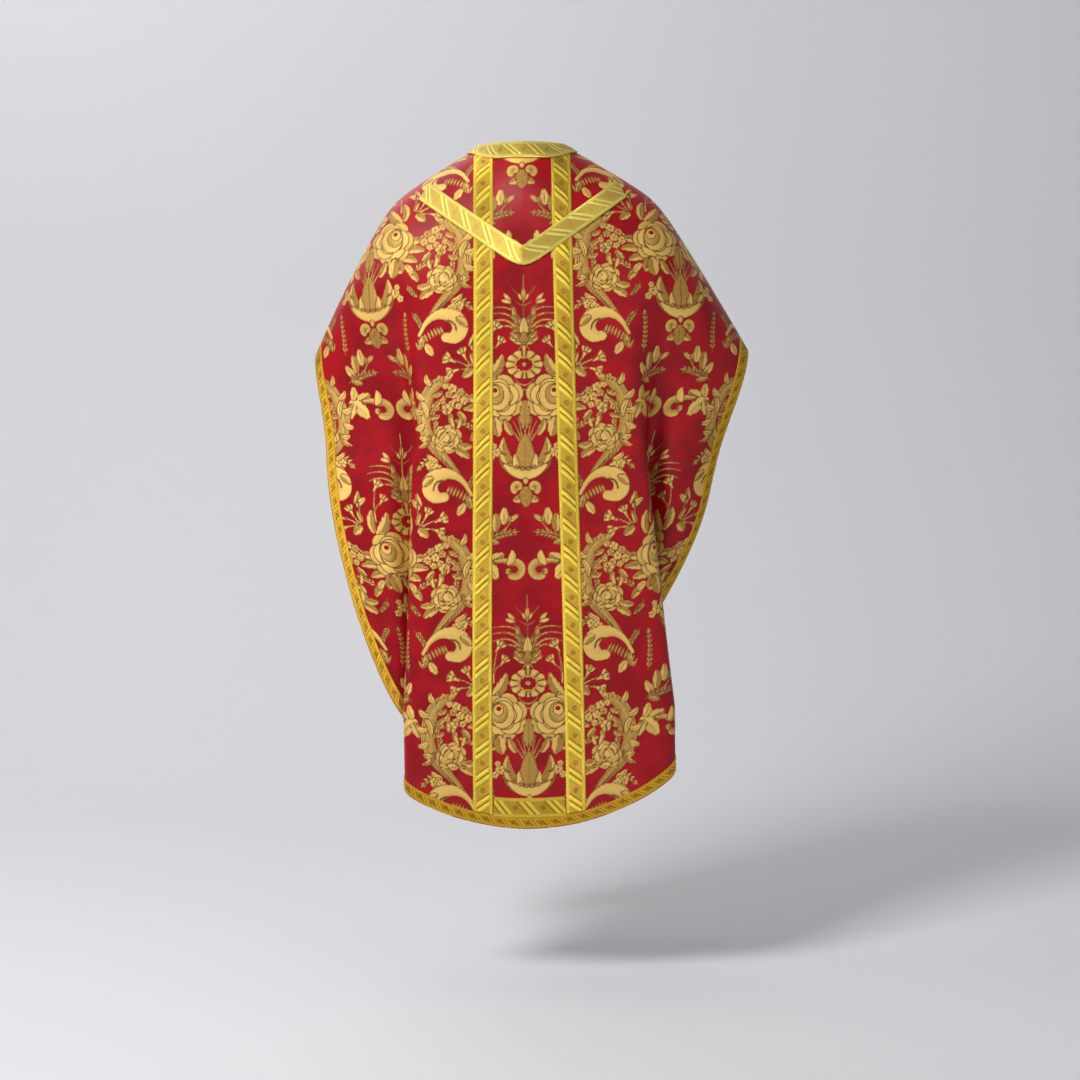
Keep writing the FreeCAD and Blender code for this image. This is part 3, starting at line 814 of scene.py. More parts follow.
    def _foliage(self) -> None:
        """The leaves that line the great scroll and fill the ground about it."""
        b = self.board
        lobes = ((101, -62, 84, -76, 11), (97, -40, 79, -44, 12),
                 (98, -18, 80, -12, 12), (106, 4, 90, 2, 10),
                 (112, -84, 104, -104, 10))
        for x, y, tip_x, tip_y, width in lobes:
            b.leaf((x, y), (tip_x, tip_y), width, 0.18, 3, Tone.LIGHT)
        inner = ((112, -50, 128, -62), (110, -30, 127, -36), (114, -68, 132, -76))
        for x, y, tip_x, tip_y in inner:
            b.leaf((x, y), (tip_x, tip_y), 9, -0.16, 2)
        b.each(b.twig, ((142, -30), (133, -60), 0.08, 4, 9), ((84, 262), (112, 246), 0.06, 4, 9),
               ((72, 282), (84, 300), -0.08, 3, 9, Tone.MIDDLE))
        b.each(b.leaf, ((76, 262), (92, 280), 13, 0.08, 3), ((70, 252), (82, 268), 12, 0.08, 3, Tone.LIGHT),
               ((128, 268), (120, 292), 12, 0.08, 3), ((132, 262), (150, 284), 12, -0.08, 3, Tone.LIGHT),
               ((92, 118), (84, 96), 11, 0.10, 3), ((88, 124), (70, 110), 11, -0.10, 3, Tone.LIGHT))
        b.stem((90, 156), (86, 112), 0.05, 1.2, 0.8)
        b.twig((78, 330), (96, 356), 0.05, 5, 9, Tone.MIDDLE)
        b.each(b.leaf, ((104, 386), (116, 404), 14, 0, 3, Tone.LIGHT), ((98, 372), (90, 394), 12, 0.10, 3))

    def _side_flowers(self) -> None:
        """The lily sprig, the cluster of small flowers and the lone twigs beyond the braid."""
        b = self.board
        for x, y in ((104, 132), (124, 141), (121, 162)):
            b.stem((90, 156), (x, y), 0.04, 1.4, 0.9)
        b.each(b.bell, ((98, 142), (105, 127), 14), ((116, 146), (131, 139), 16),
               ((112, 158), (126, 163), 15))
        b.each(b.leaf, ((88, 160), (104, 172), 15, 0.05, 3), ((84, 150), (92, 130), 9, 0.05, 2))
        b.each(b.stem, ((92, 206), (140, 178), 0.06, 1.4, 0.9), ((94, 212), (146, 226), -0.06, 1.4, 0.9))
        spots = ((143, 175, 7.5), (134, 186, 5.5), (122, 190, 8), (108, 196, 7),
                 (116, 206, 7.5), (102, 210, 7.5), (128, 200, 6.5), (124, 216, 6),
                 (131, 225, 9.5), (149, 223, 5.5), (112, 220, 6), (138, 211, 5.5))
        for k, (x, y, radius) in enumerate(spots):
            b.floret((x, y), radius, 5 + k % 2, 0.7 * k, Tone.LIGHT if k % 3 else Tone.MIDDLE)
        b.each(b.leaf, ((112, 230), (98, 244), 11, 0.05, 3), ((124, 234), (126, 250), 9, 0.05, 2))

    @staticmethod
    def _eased(points: Field, fill: int) -> Field:
        """A smooth line through points: each stretch is a cubic whose slopes are those of its neighbours."""
        padded = np.concatenate([[2.0 * points[0] - points[1]], points, [2.0 * points[-1] - points[-2]]])
        t = (np.arange(fill) / fill)[:, None]
        stretches = []
        for k in range(1, len(padded) - 2):
            p0, p1, p2, p3 = padded[k - 1:k + 3]
            stretches.append(0.5 * (2.0 * p1 + (p2 - p0) * t + (2.0 * p0 - 5.0 * p1 + 4.0 * p2 - p3) * t ** 2
                                    + (3.0 * p1 - p0 - 3.0 * p2 + p3) * t ** 3))
        return np.concatenate(stretches + [points[-1:]])

    def _read(self, field: Field, x: Field, y: Field, outside: float) -> Field:
        """Read a field of the board at places in millimetres, by straight lines both ways."""
        fx = (x - self.board.x0) / Board.STEP
        fy = (y - self.board.y0) / Board.STEP
        inside = (fx >= 0.0) & (fy >= 0.0) & (fx < field.shape[0] - 1.001) & (fy < field.shape[1] - 1.001)
        fx, fy = np.where(inside, fx, 0.0), np.where(inside, fy, 0.0)
        return np.where(inside, between(field, fx, fy), outside)

    def _laid(self) -> tuple[Field, Field, Field]:
        """Lay the copies of the board over a quarter of the repeat.

        Returns:
            Figure, vein and tone for x from 0 to half the spacing and y from 0 to the height.
        """
        x = np.arange(0.0, 0.5 * self.SPACING + 1.0, Board.STEP)[:, None]
        y = np.arange(0.0, self.HEIGHT + 1.0, Board.STEP)[None, :]
        x, y = x + 0.0 * y, y + 0.0 * x
        figure = np.full(x.shape, -Board.LIMIT)
        vein, tone = np.full(x.shape, -Board.LIMIT), np.full(x.shape, 0.5)
        for across, fall in ((False, 0.0), (False, 1.0), (True, -0.5), (True, 0.5), (True, 1.5)):
            px = self.SPACING - x if across else x
            py = y - fall * self.HEIGHT
            here = self._read(self.board.figure, px, py, -Board.LIMIT)
            wins = here > 0.0
            figure = np.maximum(figure, here)
            vein = np.where(wins, self._read(self.board.vein, px, py, -Board.LIMIT), vein)
            tone = np.where(wins, self._read(self.board.tone, px, py, 0.5), tone)
        return figure, self._blurred(np.clip(2.2 * vein + 0.8, 0.0, 1.0), 1), self._blurred(tone)

    @staticmethod
    def _blurred(field: Field, passes: int = 2) -> Field:
        """Even a field out: each pass is the mean of a point and its neighbours along both ways."""
        for _ in range(passes):
            for axis in (0, 1):
                field = 0.25 * (np.roll(field, 1, axis) + 2.0 * field + np.roll(field, -1, axis))
        return field

    def sample(self, column: Field, height: Field) -> dict[str, Field]:
        """Read the figure on the cloth.

        Args:
            column: distances from the middle line.
            height: heights.

        Returns:
            The marks figure, vein and tone at every point.
        """
        x = np.abs(column) / MM
        y = (self.FIRST_SPIKE - height) / MM
        cell = np.floor(x / self.SPACING + 0.5)
        x = np.abs(x - cell * self.SPACING)
        y = np.mod(y - 0.5 * self.HEIGHT * np.mod(cell, 2.0), self.HEIGHT)
        read = [between(field, x / Board.STEP, y / Board.STEP) for field in self.fields]
        return dict(zip(("figure", "vein", "tone"), read))


# ---------------------------------------------------------------------------------------------
# Braids
# ---------------------------------------------------------------------------------------------


@dataclass(frozen=True)
class BraidWeave:
    """The raised pattern of a braid in millimetres: s runs along it, t across it from its middle.

    Pairs of slanted ribs alternate with a floret of dots; a row of beads and a scalloped edge run
    along both sides.
    """

    width: float
    repeat: float
    rib: float
    slope: float
    border: float
    high: float
    # dark: how strongly the painted shadow beside each rib, and the dots, darken the braid
    dark: float

    def ribs(self, s: Field, t: Field) -> Field:
        """Height of the slanted ribs, from 0 to 1: half a circle across, with a twist along."""
        inner = smooth((0.5 * self.width - self.border - np.abs(t)) / 1.2)
        phase = np.mod(s - self.slope * t, self.repeat)
        height = np.zeros_like(phase)
        for centre in (0.17, 0.42):
            across = (phase - centre * self.repeat) / (self.rib * 1.30)
            height = np.maximum(height, np.sqrt(np.maximum(1.0 - across * across, 0.0)))
        return height * inner * (0.86 + 0.14 * np.cos(2.0 * math.pi * (s + 0.9 * t) / 2.4))

    def floret(self, s: Field, t: Field) -> Field:
        """Height of the dots between the ribs: six about one, each a round bump."""
        along = np.mod(s - 0.79 * self.repeat + 0.5 * self.repeat, self.repeat) - 0.5 * self.repeat
        size = 0.072 * self.repeat
        height = np.maximum(1.0 - (along * along + t * t) / (0.45 * size) ** 2, 0.0)
        for k in range(6):
            angle = math.pi * k / 3.0 + 0.4
            da, dt = along - size * math.cos(angle), t - size * math.sin(angle)
            height = np.maximum(height, 1.0 - (da * da + dt * dt) / (0.42 * size) ** 2)
        return np.clip(height, 0.0, 1.0)

    def beads(self, s: Field, t: Field) -> Field:
        """Height of the bead rows and of the cords beside them."""
        off = np.abs(t) - (0.5 * self.width - 0.62 * self.border)
        bead = np.abs(np.sin(math.pi * s / 3.0)) ** 0.7 * np.exp(-((off / 0.85) ** 2))
        cord = 0.55 * np.exp(-(((off - 1.9) / 0.7) ** 2)) + 0.55 * np.exp(-(((off + 1.9) / 0.6) ** 2))
        return np.maximum(bead, cord)

    def relief(self, s: Field, t: Field) -> tuple[Field, Field]:
        """Height in millimetres, and lightness from 0 to 1 at every point of the braid: painted highlight on
        the raised ribs and beads, painted shadow beside each rib.
        """
        ribs, dots, beads = self.ribs(s, t), self.floret(s, t), self.beads(s, t)
        ground = np.cos(2.0 * math.pi * s / 2.6) * np.cos(2.0 * math.pi * t / 2.6)
        # painted shadow: darker on the side of each rib where a copy shifted along the braid stands higher
        painted_rib_shadow = np.clip(self.ribs(s + 2.2, t) - ribs, 0.0, 1.0)
        height = self.high * np.maximum(ribs, 0.50 * beads) - 0.35 * self.high * dots
        # painted highlight: the raised ribs and beads are made lighter than the ground; the sunk dots are
        # made darker
        light = 0.50 + 0.16 * ground + 0.42 * np.maximum(ribs, 0.95 * beads)
        return height, np.clip(light - self.dark * np.maximum(painted_rib_shadow, 1.2 * dots), 0.0, 1.0)

    def scallop(self, s: Field) -> Field:
        """Share of the full width at a place along the braid: a shallow wave of small loops."""
        return 1.0 - 1.6 / self.width * (1.0 - np.abs(np.sin(math.pi * s / 6.0)))


WIDE = BraidWeave(width=34.0, repeat=47.0, rib=3.7, slope=0.85, border=5.0, high=1.1, dark=0.55)
PALE = BraidWeave(width=34.0, repeat=47.0, rib=2.6, slope=1.15, border=5.0, high=0.40, dark=0.12)
COLLAR = BraidWeave(width=27.2, repeat=40.0, rib=2.6, slope=1.15, border=4.4, high=0.8, dark=0.45)
NARROW = BraidWeave(width=18.0, repeat=24.0, rib=1.9, slope=1.0, border=3.9, high=0.7, dark=0.45)
Path = Callable[[Field], tuple[Field, Field]]


class Band:
    """A braid or strip sewn along a line of the cloth."""

    HEAD_INSET = 0.008
    TIP_GAP = 0.004
    LEVEL = 0.060
    FAN_START = 0.35

    def __init__(self, drape: Drape, name: str) -> None:
        """Remember the sheet that the strip is sewn to, and the strip's name."""
        self.drape = drape
        self.name = name

    def _length(self, column: Field, height: Field) -> Field:
        """Distance along the middle of the strip, in millimetres, from its first point."""
        middle = self.drape.place(column, height)
        steps = np.linalg.norm(np.diff(middle, axis=0), axis=-1)
        return np.concatenate([[0.0], np.cumsum(steps)]) / MM

    def _finish(self, column: Field, height: Field, s: Field, t: Field, weave: BraidWeave,
                lift: float) -> Piece:
        """Hang the strip, raise its pattern and turn its edges down to the cloth."""
        # light: the braid's painted highlight and painted shadow, kept on the mesh as a mark for the finish
        relief, light = weave.relief(s, t)
        uv = np.stack([t * MM, s * MM], axis=-1)
        cloth = Cloth.hung(self.drape, column, height, {"light": light}, uv)
        edge = np.abs(t) / (0.5 * weave.width)
        body = lift - 0.0004 * smooth((edge - 0.90) / 0.10)
        raised = cloth.lift(body + relief * MM).turned_under(lift - 0.0001, 2)
        return raised.mesh(self.name, self.drape.face.value)

    def along(self, path: Path, weave: BraidWeave, lift: float, count: tuple[int, int]) -> Piece:
        """Sew a braid along a path that runs towards +X.

        Args:
            path: turns shares of the way into columns and heights.
            weave: the braid's pattern.
            lift: how far the braid's face stands off the cloth.
            count: points along and across.

        Returns:
            The braid.
        """
        u = np.linspace(0.0, 1.0, count[0])
        column, height = path(u)
        s = self._length(column, height)
        da, dz = np.gradient(column), np.gradient(height)
        size = np.hypot(da, dz)
        t = np.linspace(-0.5, 0.5, count[1])[None, :] * weave.width
        shift = t * weave.scallop(s)[:, None] * MM
        columns = column[:, None] + (dz / size)[:, None] * shift
        heights = height[:, None] - (da / size)[:, None] * shift
        return self._finish(columns, heights, s[:, None] + 0.0 * t, t + 0.0 * s[:, None], weave, lift)

    def round_neck(self, width: float, count: tuple[int, int]) -> tuple[Field, Field]:
        """Columns and heights of a band round the neck edge.

        Args:
            width: of the band.
            count: points along and across.

        Returns:
            Columns and heights.  The band reaches straight down from the edge in the middle; its
            direction turns to that of the shoulder ridge towards both ends.
        """
        share = np.linspace(-1.0, 1.0, count[0])
        column = (Cut.NECK - Cut.CLEAR) * share
        height = Cut.neck_edge(column, self.drape.face) - Cut.CLEAR
        da, dz = np.gradient(column), np.gradient(height)
        size = np.hypot(da, dz)
        fan = smooth((np.abs(share) - self.FAN_START) / (1.0 - self.FAN_START))
        slope = math.hypot(1.0, Cut.RIDGE_SLOPE)
        across = (1.0 - fan) * dz / size + fan * np.sign(share) / slope
        down = -(1.0 - fan) * da / size - fan * Cut.RIDGE_SLOPE / slope
        reach = np.linspace(0.0, width, count[1])[None, :] / np.hypot(across, down)[:, None]
        return column[:, None] + across[:, None] * reach, height[:, None] + down[:, None] * reach

    def collar(self, weave: BraidWeave, lift: float, count: tuple[int, int]) -> Piece:
        """Sew a braid round the neck edge, with its face at a height off the cloth."""
        column, height = self.round_neck(weave.width * MM, count)
        middle = count[1] // 2
        s = self._length(column[:, middle], height[:, middle])[:, None]
        t = np.linspace(-0.5, 0.5, count[1])[None, :] * weave.width
        return self._finish(column, height, s + 0.0 * t, t + 0.0 * s, weave, lift)

    def column(self, hand: float, weave: BraidWeave, lift: float, count: tuple[int, int]) -> Piece:
        """Sew an upright braid from the neck edge to the hem braid.

        Args:
            hand: -1 for the wearer's left, +1 for the right.
            weave: the braid's pattern.
            lift: how far its face stands off the cloth.
            count: points across and down.

        Returns:
            The braid.
        """
        t = np.linspace(-0.5, 0.5, count[0])[:, None] * weave.width
        arc = np.linspace(0.0, 1.0, count[1])[None, :]
        share = (np.hypot(arc, self.LEVEL) - self.LEVEL) / (math.hypot(1.0, self.LEVEL) - self.LEVEL)
        middle = Cut.COLUMN_TOP + (Cut.COLUMN_FOOT - Cut.COLUMN_TOP) * smooth(share)
        column = hand * middle + 0.0 * t
        s = self._length(column[0], self._fall(column, share)[count[0] // 2])[None, :]
        column = column + t * weave.scallop(s) * MM
        height = self._fall(column, share)
        return self._finish(column, height, s + 0.0 * t, hand * t + 0.0 * s, weave, lift)

    def _fall(self, column: Field, share: Field) -> Field:
        """Heights at shares of the way from just under the neck edge to the hem braid."""
        head = Cut.top(column, self.drape.face) - self.HEAD_INSET
        foot = Cut.hem(column, self.drape.face) + Cut.EDGE_GAP + Cut.EDGING + Cut.CLEAR
        return head + (foot - head) * share

    def edge(self, weave: BraidWeave, lift: float, count: tuple[int, int]) -> Piece:
        """Sew the hem braid: from the left tip down, round the hem and up to the right tip.

        Args:
            weave: the braid's pattern.
            lift: how far its face stands off the cloth.
            count: points along and across.

        Returns:
            The braid, whose line is two uprights joined by half an ellipse.
        """
        inset = Cut.EDGE_GAP + 0.5 * Cut.EDGING
        half = Cut.HALF - inset
        depth = Cut.HEM[self.drape.face] - inset
        crest = float(Cut.ridge(np.array(half)))
        straight = crest - self.TIP_GAP - Cut.SIDE_BOTTOM
        rounded = math.pi * math.sqrt(0.5 * (half * half + depth * depth))
        u = np.linspace(0.0, 1.0, count[0])[:, None]
        t = np.linspace(-0.5, 0.5, count[1])[None, :] * weave.width
        run = np.minimum(u, 1.0 - u) * (2.0 * straight + rounded)
        hand = np.where(u < 0.5, -1.0, 1.0)
        s = u * (2.0 * straight + rounded) / MM
        shift = t * weave.scallop(s) * MM
        side = half + shift
        rise = np.where(run < 0.2, (Cut.ridge(side) - crest) * np.exp(-run / Cut.EDGING), 0.0)
        angle = math.pi * np.maximum(run - straight, 0.0) / rounded
        dx, dz = depth * np.cos(angle), half * np.sin(angle)
        size = np.hypot(dx, dz)
        column = np.where(run <= straight, side, half * np.cos(angle) + shift * dx / size)
        height = np.where(run <= straight, Cut.SIDE_BOTTOM + straight - run + rise,
                          Cut.SIDE_BOTTOM - depth * np.sin(angle) - shift * dz / size)
        return self._finish(hand * column, height, s + 0.0 * t, t + 0.0 * s, weave, lift)


# ---------------------------------------------------------------------------------------------
# Finishes
# ---------------------------------------------------------------------------------------------


def linear(red: int, green: int, blue: int) -> tuple[float, float, float, float]:
    """Turn an sRGB colour of 0 to 255 into a linear one with full cover."""
    parts = (value / 255.0 for value in (red, green, blue))
    return (*(p / 12.92 if p <= 0.04045 else ((p + 0.055) / 1.055) ** 2.4 for p in parts), 1.0)


class Recipe:
    """A material being built: short ways to add and join nodes."""

    def __init__(self, name: str) -> None:
        """Start a material with its Principled shader."""
        self.material = bpy.data.materials.new(name)
        self.material.use_nodes = True
        self.tree = self.material.node_tree
        self.shader = self.tree.nodes["Principled BSDF"]

    def node(self, kind: str, **settings: object) -> bpy.types.Node:
        """Add a node and set its properties."""
        node = self.tree.nodes.new(kind)
        for key, value in settings.items():
            setattr(node, key, value)
        return node

    def join(self, value: object, socket: Socket) -> None:
        """Link a socket, or set it to a plain value."""
        if isinstance(value, Socket):
            self.tree.links.new(value, socket)
        else:
            socket.default_value = value

    def math(self, operation: str, first: object, second: object = 0.0) -> Socket:
        """Join two values by a sum, a product or another operation."""
        node = self.node("ShaderNodeMath", operation=operation)
        self.join(first, node.inputs[0])
        self.join(second, node.inputs[1])
        return node.outputs[0]

    def mark(self, name: str) -> Socket:
        """Read one of the mesh's named numbers."""
        return self.node("ShaderNodeAttribute", attribute_name=name).outputs["Fac"]

    def ramp(self, value: object, low: float, high: float, first: float = 0.0,
             last: float = 1.0) -> Socket:
        """Carry a value from one range to another, eased at both ends and held beyond them."""
        node = self.node("ShaderNodeMapRange", interpolation_type="SMOOTHSTEP")
        for place, number in zip((0, 1, 2, 3, 4), (value, low, high, first, last)):
            self.join(number, node.inputs[place])
        return node.outputs[0]

    def mix(self, share: object, first: object, second: object) -> Socket:
        """Mix two colours."""
        node = self.node("ShaderNodeMix", data_type="RGBA")
        self.join(share, node.inputs[0])
        self.join(first, node.inputs[6])
        self.join(second, node.inputs[7])
        return node.outputs[2]

    def cloth_axes(self) -> tuple[Socket, Socket]:
        """Places across and along the flat cloth, in metres."""
        uv = self.node("ShaderNodeUVMap", uv_map="cloth").outputs[0]
        parts = self.node("ShaderNodeSeparateXYZ")
        self.join(uv, parts.inputs[0])
        return parts.outputs[0], parts.outputs[1]

    def threads(self, axis: object, pitch: float) -> Socket:
        """Round threads side by side: the sine of the place, once per pitch."""
        return self.math("SINE", self.math("MULTIPLY", axis, 2.0 * math.pi / pitch))

    def mottle(self, size: float, detail: float = 3.0) -> Socket:
        """Soft, cloudy noise whose clouds are about the given size in metres."""
        place = self.node("ShaderNodeTexCoord").outputs["Object"]
        noise = self.node("ShaderNodeTexNoise")
        self.join(place, noise.inputs["Vector"])
        noise.inputs["Scale"].default_value = 1.0 / size
        noise.inputs["Detail"].default_value = detail
        return noise.outputs[0]

    def bump(self, height: object, depth: float) -> None:
        """Give the shader a bump of the given depth in metres."""
        node = self.node("ShaderNodeBump")
        node.inputs["Strength"].default_value = 1.0
        node.inputs["Distance"].default_value = depth
        self.join(height, node.inputs["Height"])
        self.join(node.outputs[0], self.shader.inputs["Normal"])

    def set(self, **values: object) -> None:
        """Set shader inputs: words are joined by underscores and begin with capitals."""
        for key, value in values.items():
            self.join(value, self.shader.inputs[key.replace("_", " ")])


@dataclass(frozen=True)
class Brocade:
    """Red silk satin with a figure in gold thread; the mesh marks say where each shows."""

    red: tuple = linear(172, 4, 22)
    deep_red: tuple = linear(148, 2, 18)
    gold_deep: tuple = linear(142, 92, 20)
    gold_light: tuple = linear(238, 196, 104)
    outline: tuple = linear(112, 54, 18)
    sheen: tuple = linear(255, 90, 100)

    def material(self) -> bpy.types.Material:
        """Build it: satin threads run down the ground, ribbed threads run across the figure."""
        recipe = Recipe("brocade")
        across, down = recipe.cloth_axes()
        inside = recipe.ramp(recipe.mark("figure"), -0.35, 0.35)
        vein = recipe.mark("vein")
        ground = recipe.mix(recipe.ramp(recipe.mottle(0.045), 0.35, 0.65), self.red, self.deep_red)
        streak = recipe.mottle(0.004, 4.0)
        tone = recipe.math("ADD", recipe.mark("tone"), recipe.math("MULTIPLY", streak, 0.30))
        gold = recipe.mix(recipe.ramp(tone, 0.22, 0.98), self.gold_deep, self.gold_light)
        figured = recipe.mix(inside, ground, gold)
        lined = recipe.mix(recipe.ramp(vein, 0.05, 0.85, 0.0, 0.90), figured, self.outline)
        satin = recipe.math("MULTIPLY", recipe.threads(across, 0.00042), 0.35)
        weft = recipe.math("MULTIPLY", recipe.threads(down, 0.00075), 0.9)
        shift = recipe.math("SUBTRACT", weft, satin)
        woven = recipe.math("ADD", satin, recipe.math("MULTIPLY", inside, shift))
        recipe.bump(woven, 0.00006)
        recipe.set(Base_Color=lined, Roughness=recipe.ramp(inside, 0.0, 1.0, 0.40, 0.46),
                   Metallic=recipe.math("MULTIPLY", inside, 0.30), Sheen_Weight=0.05, Sheen_Roughness=0.45,
                   Sheen_Tint=self.sheen, Specular_IOR_Level=0.28)
        return recipe.material


@dataclass(frozen=True)
class MetalThread:
    """Braid of gold metal thread, with a painted highlight on its raised pattern and painted shade between.
    """

    name: str
    # the painted shade end and the painted highlight end of the gold
    deep: tuple
    light: tuple
    metal: float = 0.62
    rough: float = 0.36

    def material(self) -> bpy.types.Material:
        """Build it, with threads across the braid in its bump."""
        recipe = Recipe(self.name)
        across, along = recipe.cloth_axes()
        grain = recipe.math("MULTIPLY", recipe.mottle(0.0022, 3.0), 0.24)
        # the light mark is the braid's painted highlight and painted shade, roughened by grain
        share = recipe.math("ADD", recipe.mark("light"), recipe.math("SUBTRACT", grain, 0.12))
        colour = recipe.mix(recipe.ramp(share, 0.18, 0.98), self.deep, self.light)
        ribs = recipe.math("MULTIPLY", recipe.threads(across, 0.0011), 0.5)
        recipe.bump(recipe.math("ADD", recipe.threads(along, 0.00062), ribs), 0.00007)
        recipe.set(Base_Color=colour, Metallic=self.metal, Roughness=self.rough, Specular_IOR_Level=0.5)
        return recipe.material


@dataclass(frozen=True)
class PlainCloth:
    """A plain cloth of one colour: canvas, satin or tape."""

    name: str
    colour: tuple
    shade: tuple
    rough: float
    pitch: float
    sheen: float = 0.15

    def material(self) -> bpy.types.Material:
        """Build it: threads both ways in the bump, and a cloudy change of colour."""
        recipe = Recipe(self.name)
        across, down = recipe.cloth_axes()
        colour = recipe.mix(recipe.ramp(recipe.mottle(0.012, 4.0), 0.3, 0.7), self.colour, self.shade)
        woven = recipe.math("MULTIPLY", recipe.threads(across, self.pitch), recipe.threads(down, self.pitch))
        recipe.bump(woven, 0.15 * self.pitch)
        recipe.set(Base_Color=colour, Roughness=self.rough, Sheen_Weight=self.sheen, Sheen_Roughness=0.5,
                   Specular_IOR_Level=0.35)
        return recipe.material


class Slot(Enum):
    """The material slots of the record, each with its finish."""

    BROCADE = ("brocade", Brocade())
    # For each gold braid: its painted shade colour, then its painted highlight colour.
    GALLOON = ("galloon", MetalThread("galloon", linear(162, 102, 8), linear(255, 228, 78)))
    BRIGHT = ("bright_galloon", MetalThread("bright_galloon", linear(186, 134, 24), linear(255, 240, 122)))
    EDGING = ("edging", MetalThread("edging", linear(142, 92, 10), linear(246, 192, 40)))
    LINING = ("lining", PlainCloth("lining", linear(122, 20, 34), linear(104, 14, 28), 0.42, 0.0004, 0.3))
    INTERLINING = ("interlining",
                   PlainCloth("interlining", linear(214, 204, 182), linear(196, 184, 160), 0.9, 0.0011))
    TAPE = ("tape", PlainCloth("tape", linear(128, 30, 38), linear(112, 24, 32), 0.85, 0.0009))


# ---------------------------------------------------------------------------------------------
# The garment
# ---------------------------------------------------------------------------------------------


class Garment:
    """Puts finished pieces into the frame: each rides the root and stands for its node."""

    def __init__(self) -> None:
        """Build every finish once."""
        self.materials = {slot: slot.value[1].material() for slot in Slot}
        self.count = 0

    def add(self, piece: Piece, slot: Slot) -> Piece:
        """Give a piece its finish and its place in the frame.

        Args:
            piece: named as the node that it stands for.
            slot: its material slot.

        Returns:
            The piece.
        """
        node = piece.name.removesuffix(SUFFIX)
        piece.data.materials.append(self.materials[slot])
        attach(piece, "root")
        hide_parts(node)
        self.count += 1
        LOG.info("%s: %d faces", node, len(piece.data.polygons))
        return piece


@dataclass
class Sheet:
    """One half of the garment, front or back: its panels, inner layers and braids."""

    garment: Garment
    face: Face
    repeat: Repeat
    side_grid: tuple[int, int]
    centre_grid: tuple[int, int]
    column_rows: int
    relief: float = 0.35 * MM

    YOKE_DROP: ClassVar[dict] = {Face.BACK: 0.192, Face.FRONT: 0.250}
    YOKE_SLOPE: ClassVar[float] = 0.69
    YOKE_ROUND: ClassVar[float] = 0.010
    YOKE_HEAD: ClassVar[float] = 0.68
    FOOT_LIFT: ClassVar[float] = 0.036
    FACING_WIDTH: ClassVar[float] = 0.022
    SEAM: ClassVar[float] = 0.0001
    LEVEL: ClassVar[float] = 0.085
    SWEEP: ClassVar[dict] = {Face.BACK: 0.030, Face.FRONT: Cut.FRONT_NECK_DROP + 0.012}
    SWEEP_HALF: ClassVar[float] = Cut.NECK + 0.014
    SWEEP_STEEP: ClassVar[float] = 1.25

    def __post_init__(self) -> None:
        """Work out how this half hangs."""
        self.drape = hanging(self.face)
        self.word = self.face.name.lower()

    def _grid(self, first: float, last: float, count: tuple[int, int], inset: float = 0.0,
              lowered: Callable[[Field], Field] | None = None) -> tuple[Field, Field]:
        """Columns and heights of a grid whose rows are evenly spaced along the hanging cloth.

        Args:
            first: first column.
            last: last column.
            count: points across and down.
            inset: of the hem from the garment's edge.
            lowered: how far each column's top lies under the garment's top edge.

        Returns:
            Columns and heights; the fall grows as a hyperbola that starts level on the shoulder.
        """
        column = np.linspace(first, last, count[0])[:, None]
        top = Cut.top(column, self.face) if lowered is None else lowered(column)
        hem = Cut.hem(column, self.face, inset)
        arc = np.linspace(0.0, 1.0, count[1])[None, :]
        curve = np.clip(self.LEVEL / np.maximum(top - hem, 0.05), 0.0, 0.6)
        share = (np.hypot(arc, curve) - curve) / (np.hypot(1.0, curve) - curve)
        return column + 0.0 * share, top + (hem - top) * share

    def panel(self, word: str, first: float, last: float, count: tuple[int, int]) -> Piece:
        """Cut and hang one panel of brocade, with the figure a little raised on it."""
        column, height = self._grid(first, last, count)
        laid = self.drape.laid(column, height)
        marks = self.repeat.sample(column, laid)
        cloth = Cloth.hung(self.drape, column, height, marks, np.stack([column, laid], axis=-1))
        raised = np.clip(marks["figure"] / 1.6 + 0.2, 0.0, 1.0) * (1.0 - 0.6 * marks["vein"])
        piece = cloth.lift(self.relief * raised - 0.0001).turned_under(0.8 * MM)
        made = self.garment.add(piece.mesh(f"{self.word}_{word}_panel", self.face.value), Slot.BROCADE)
        self._declare(first, last, 0.0)
        return made

    def _declare(self, first: float, last: float, inset: float) -> None:
        """Work out the top, the hem and the flat area between two columns; the results are not kept."""
        column = np.linspace(first, last, 401)
        top = Cut.top(column, self.face)
        hem = Cut.hem(column, self.face, inset)
        area = Cut.area(self.face, first, last, inset)

    def inner(self, word: str, slot: Slot, inset: float, lift: float, inward: bool,
              count: tuple[int, int]) -> Piece:
        """Hang an inner layer a little inside the garment's edge.

        Args:
            word: the layer.
            slot: its material.
            inset: from the garment's edge.
            lift: of its visible face, negative inwards.
            inward: whether its visible face looks at the body.
            count: points across and down.

        Returns:
            The layer.
        """
        def lowered(column: Field) -> Field:
            """Height of the layer's top: clear of the ridge, and swept round the neck."""
            near = np.maximum(self.SWEEP_HALF - np.abs(column), 0.0) / self.SWEEP_HALF
            dip = (inset + self.SWEEP[self.face]) * smooth(self.SWEEP_STEEP * near)
            return Cut.ridge(column) - self.ridge_drop(column, inset) - dip

        column, height = self._grid(inset - Cut.HALF, Cut.HALF - inset, count, inset, lowered)
        cloth = Cloth.hung(self.drape, column, height).lift(lift)
        piece = cloth.turned_under(-0.6 * MM if inward else 0.6 * MM)
        outward = -self.face.value if inward else self.face.value
        made = self.garment.add(piece.mesh(f"{self.word}_{word}", outward), slot)
        self._declare(inset - Cut.HALF, Cut.HALF - inset, inset)
        return made

    def ridge_drop(self, column: Field, arc: float) -> Field:
        """Fall over a short distance along the cloth from the ridge, which starts out level."""
        depth = self.drape.depth * (1.0 - 0.5 * (column / Cut.HALF) ** 2)
        return arc * arc * Drape.ROLL_LENGTH / (2.0 * depth * depth)

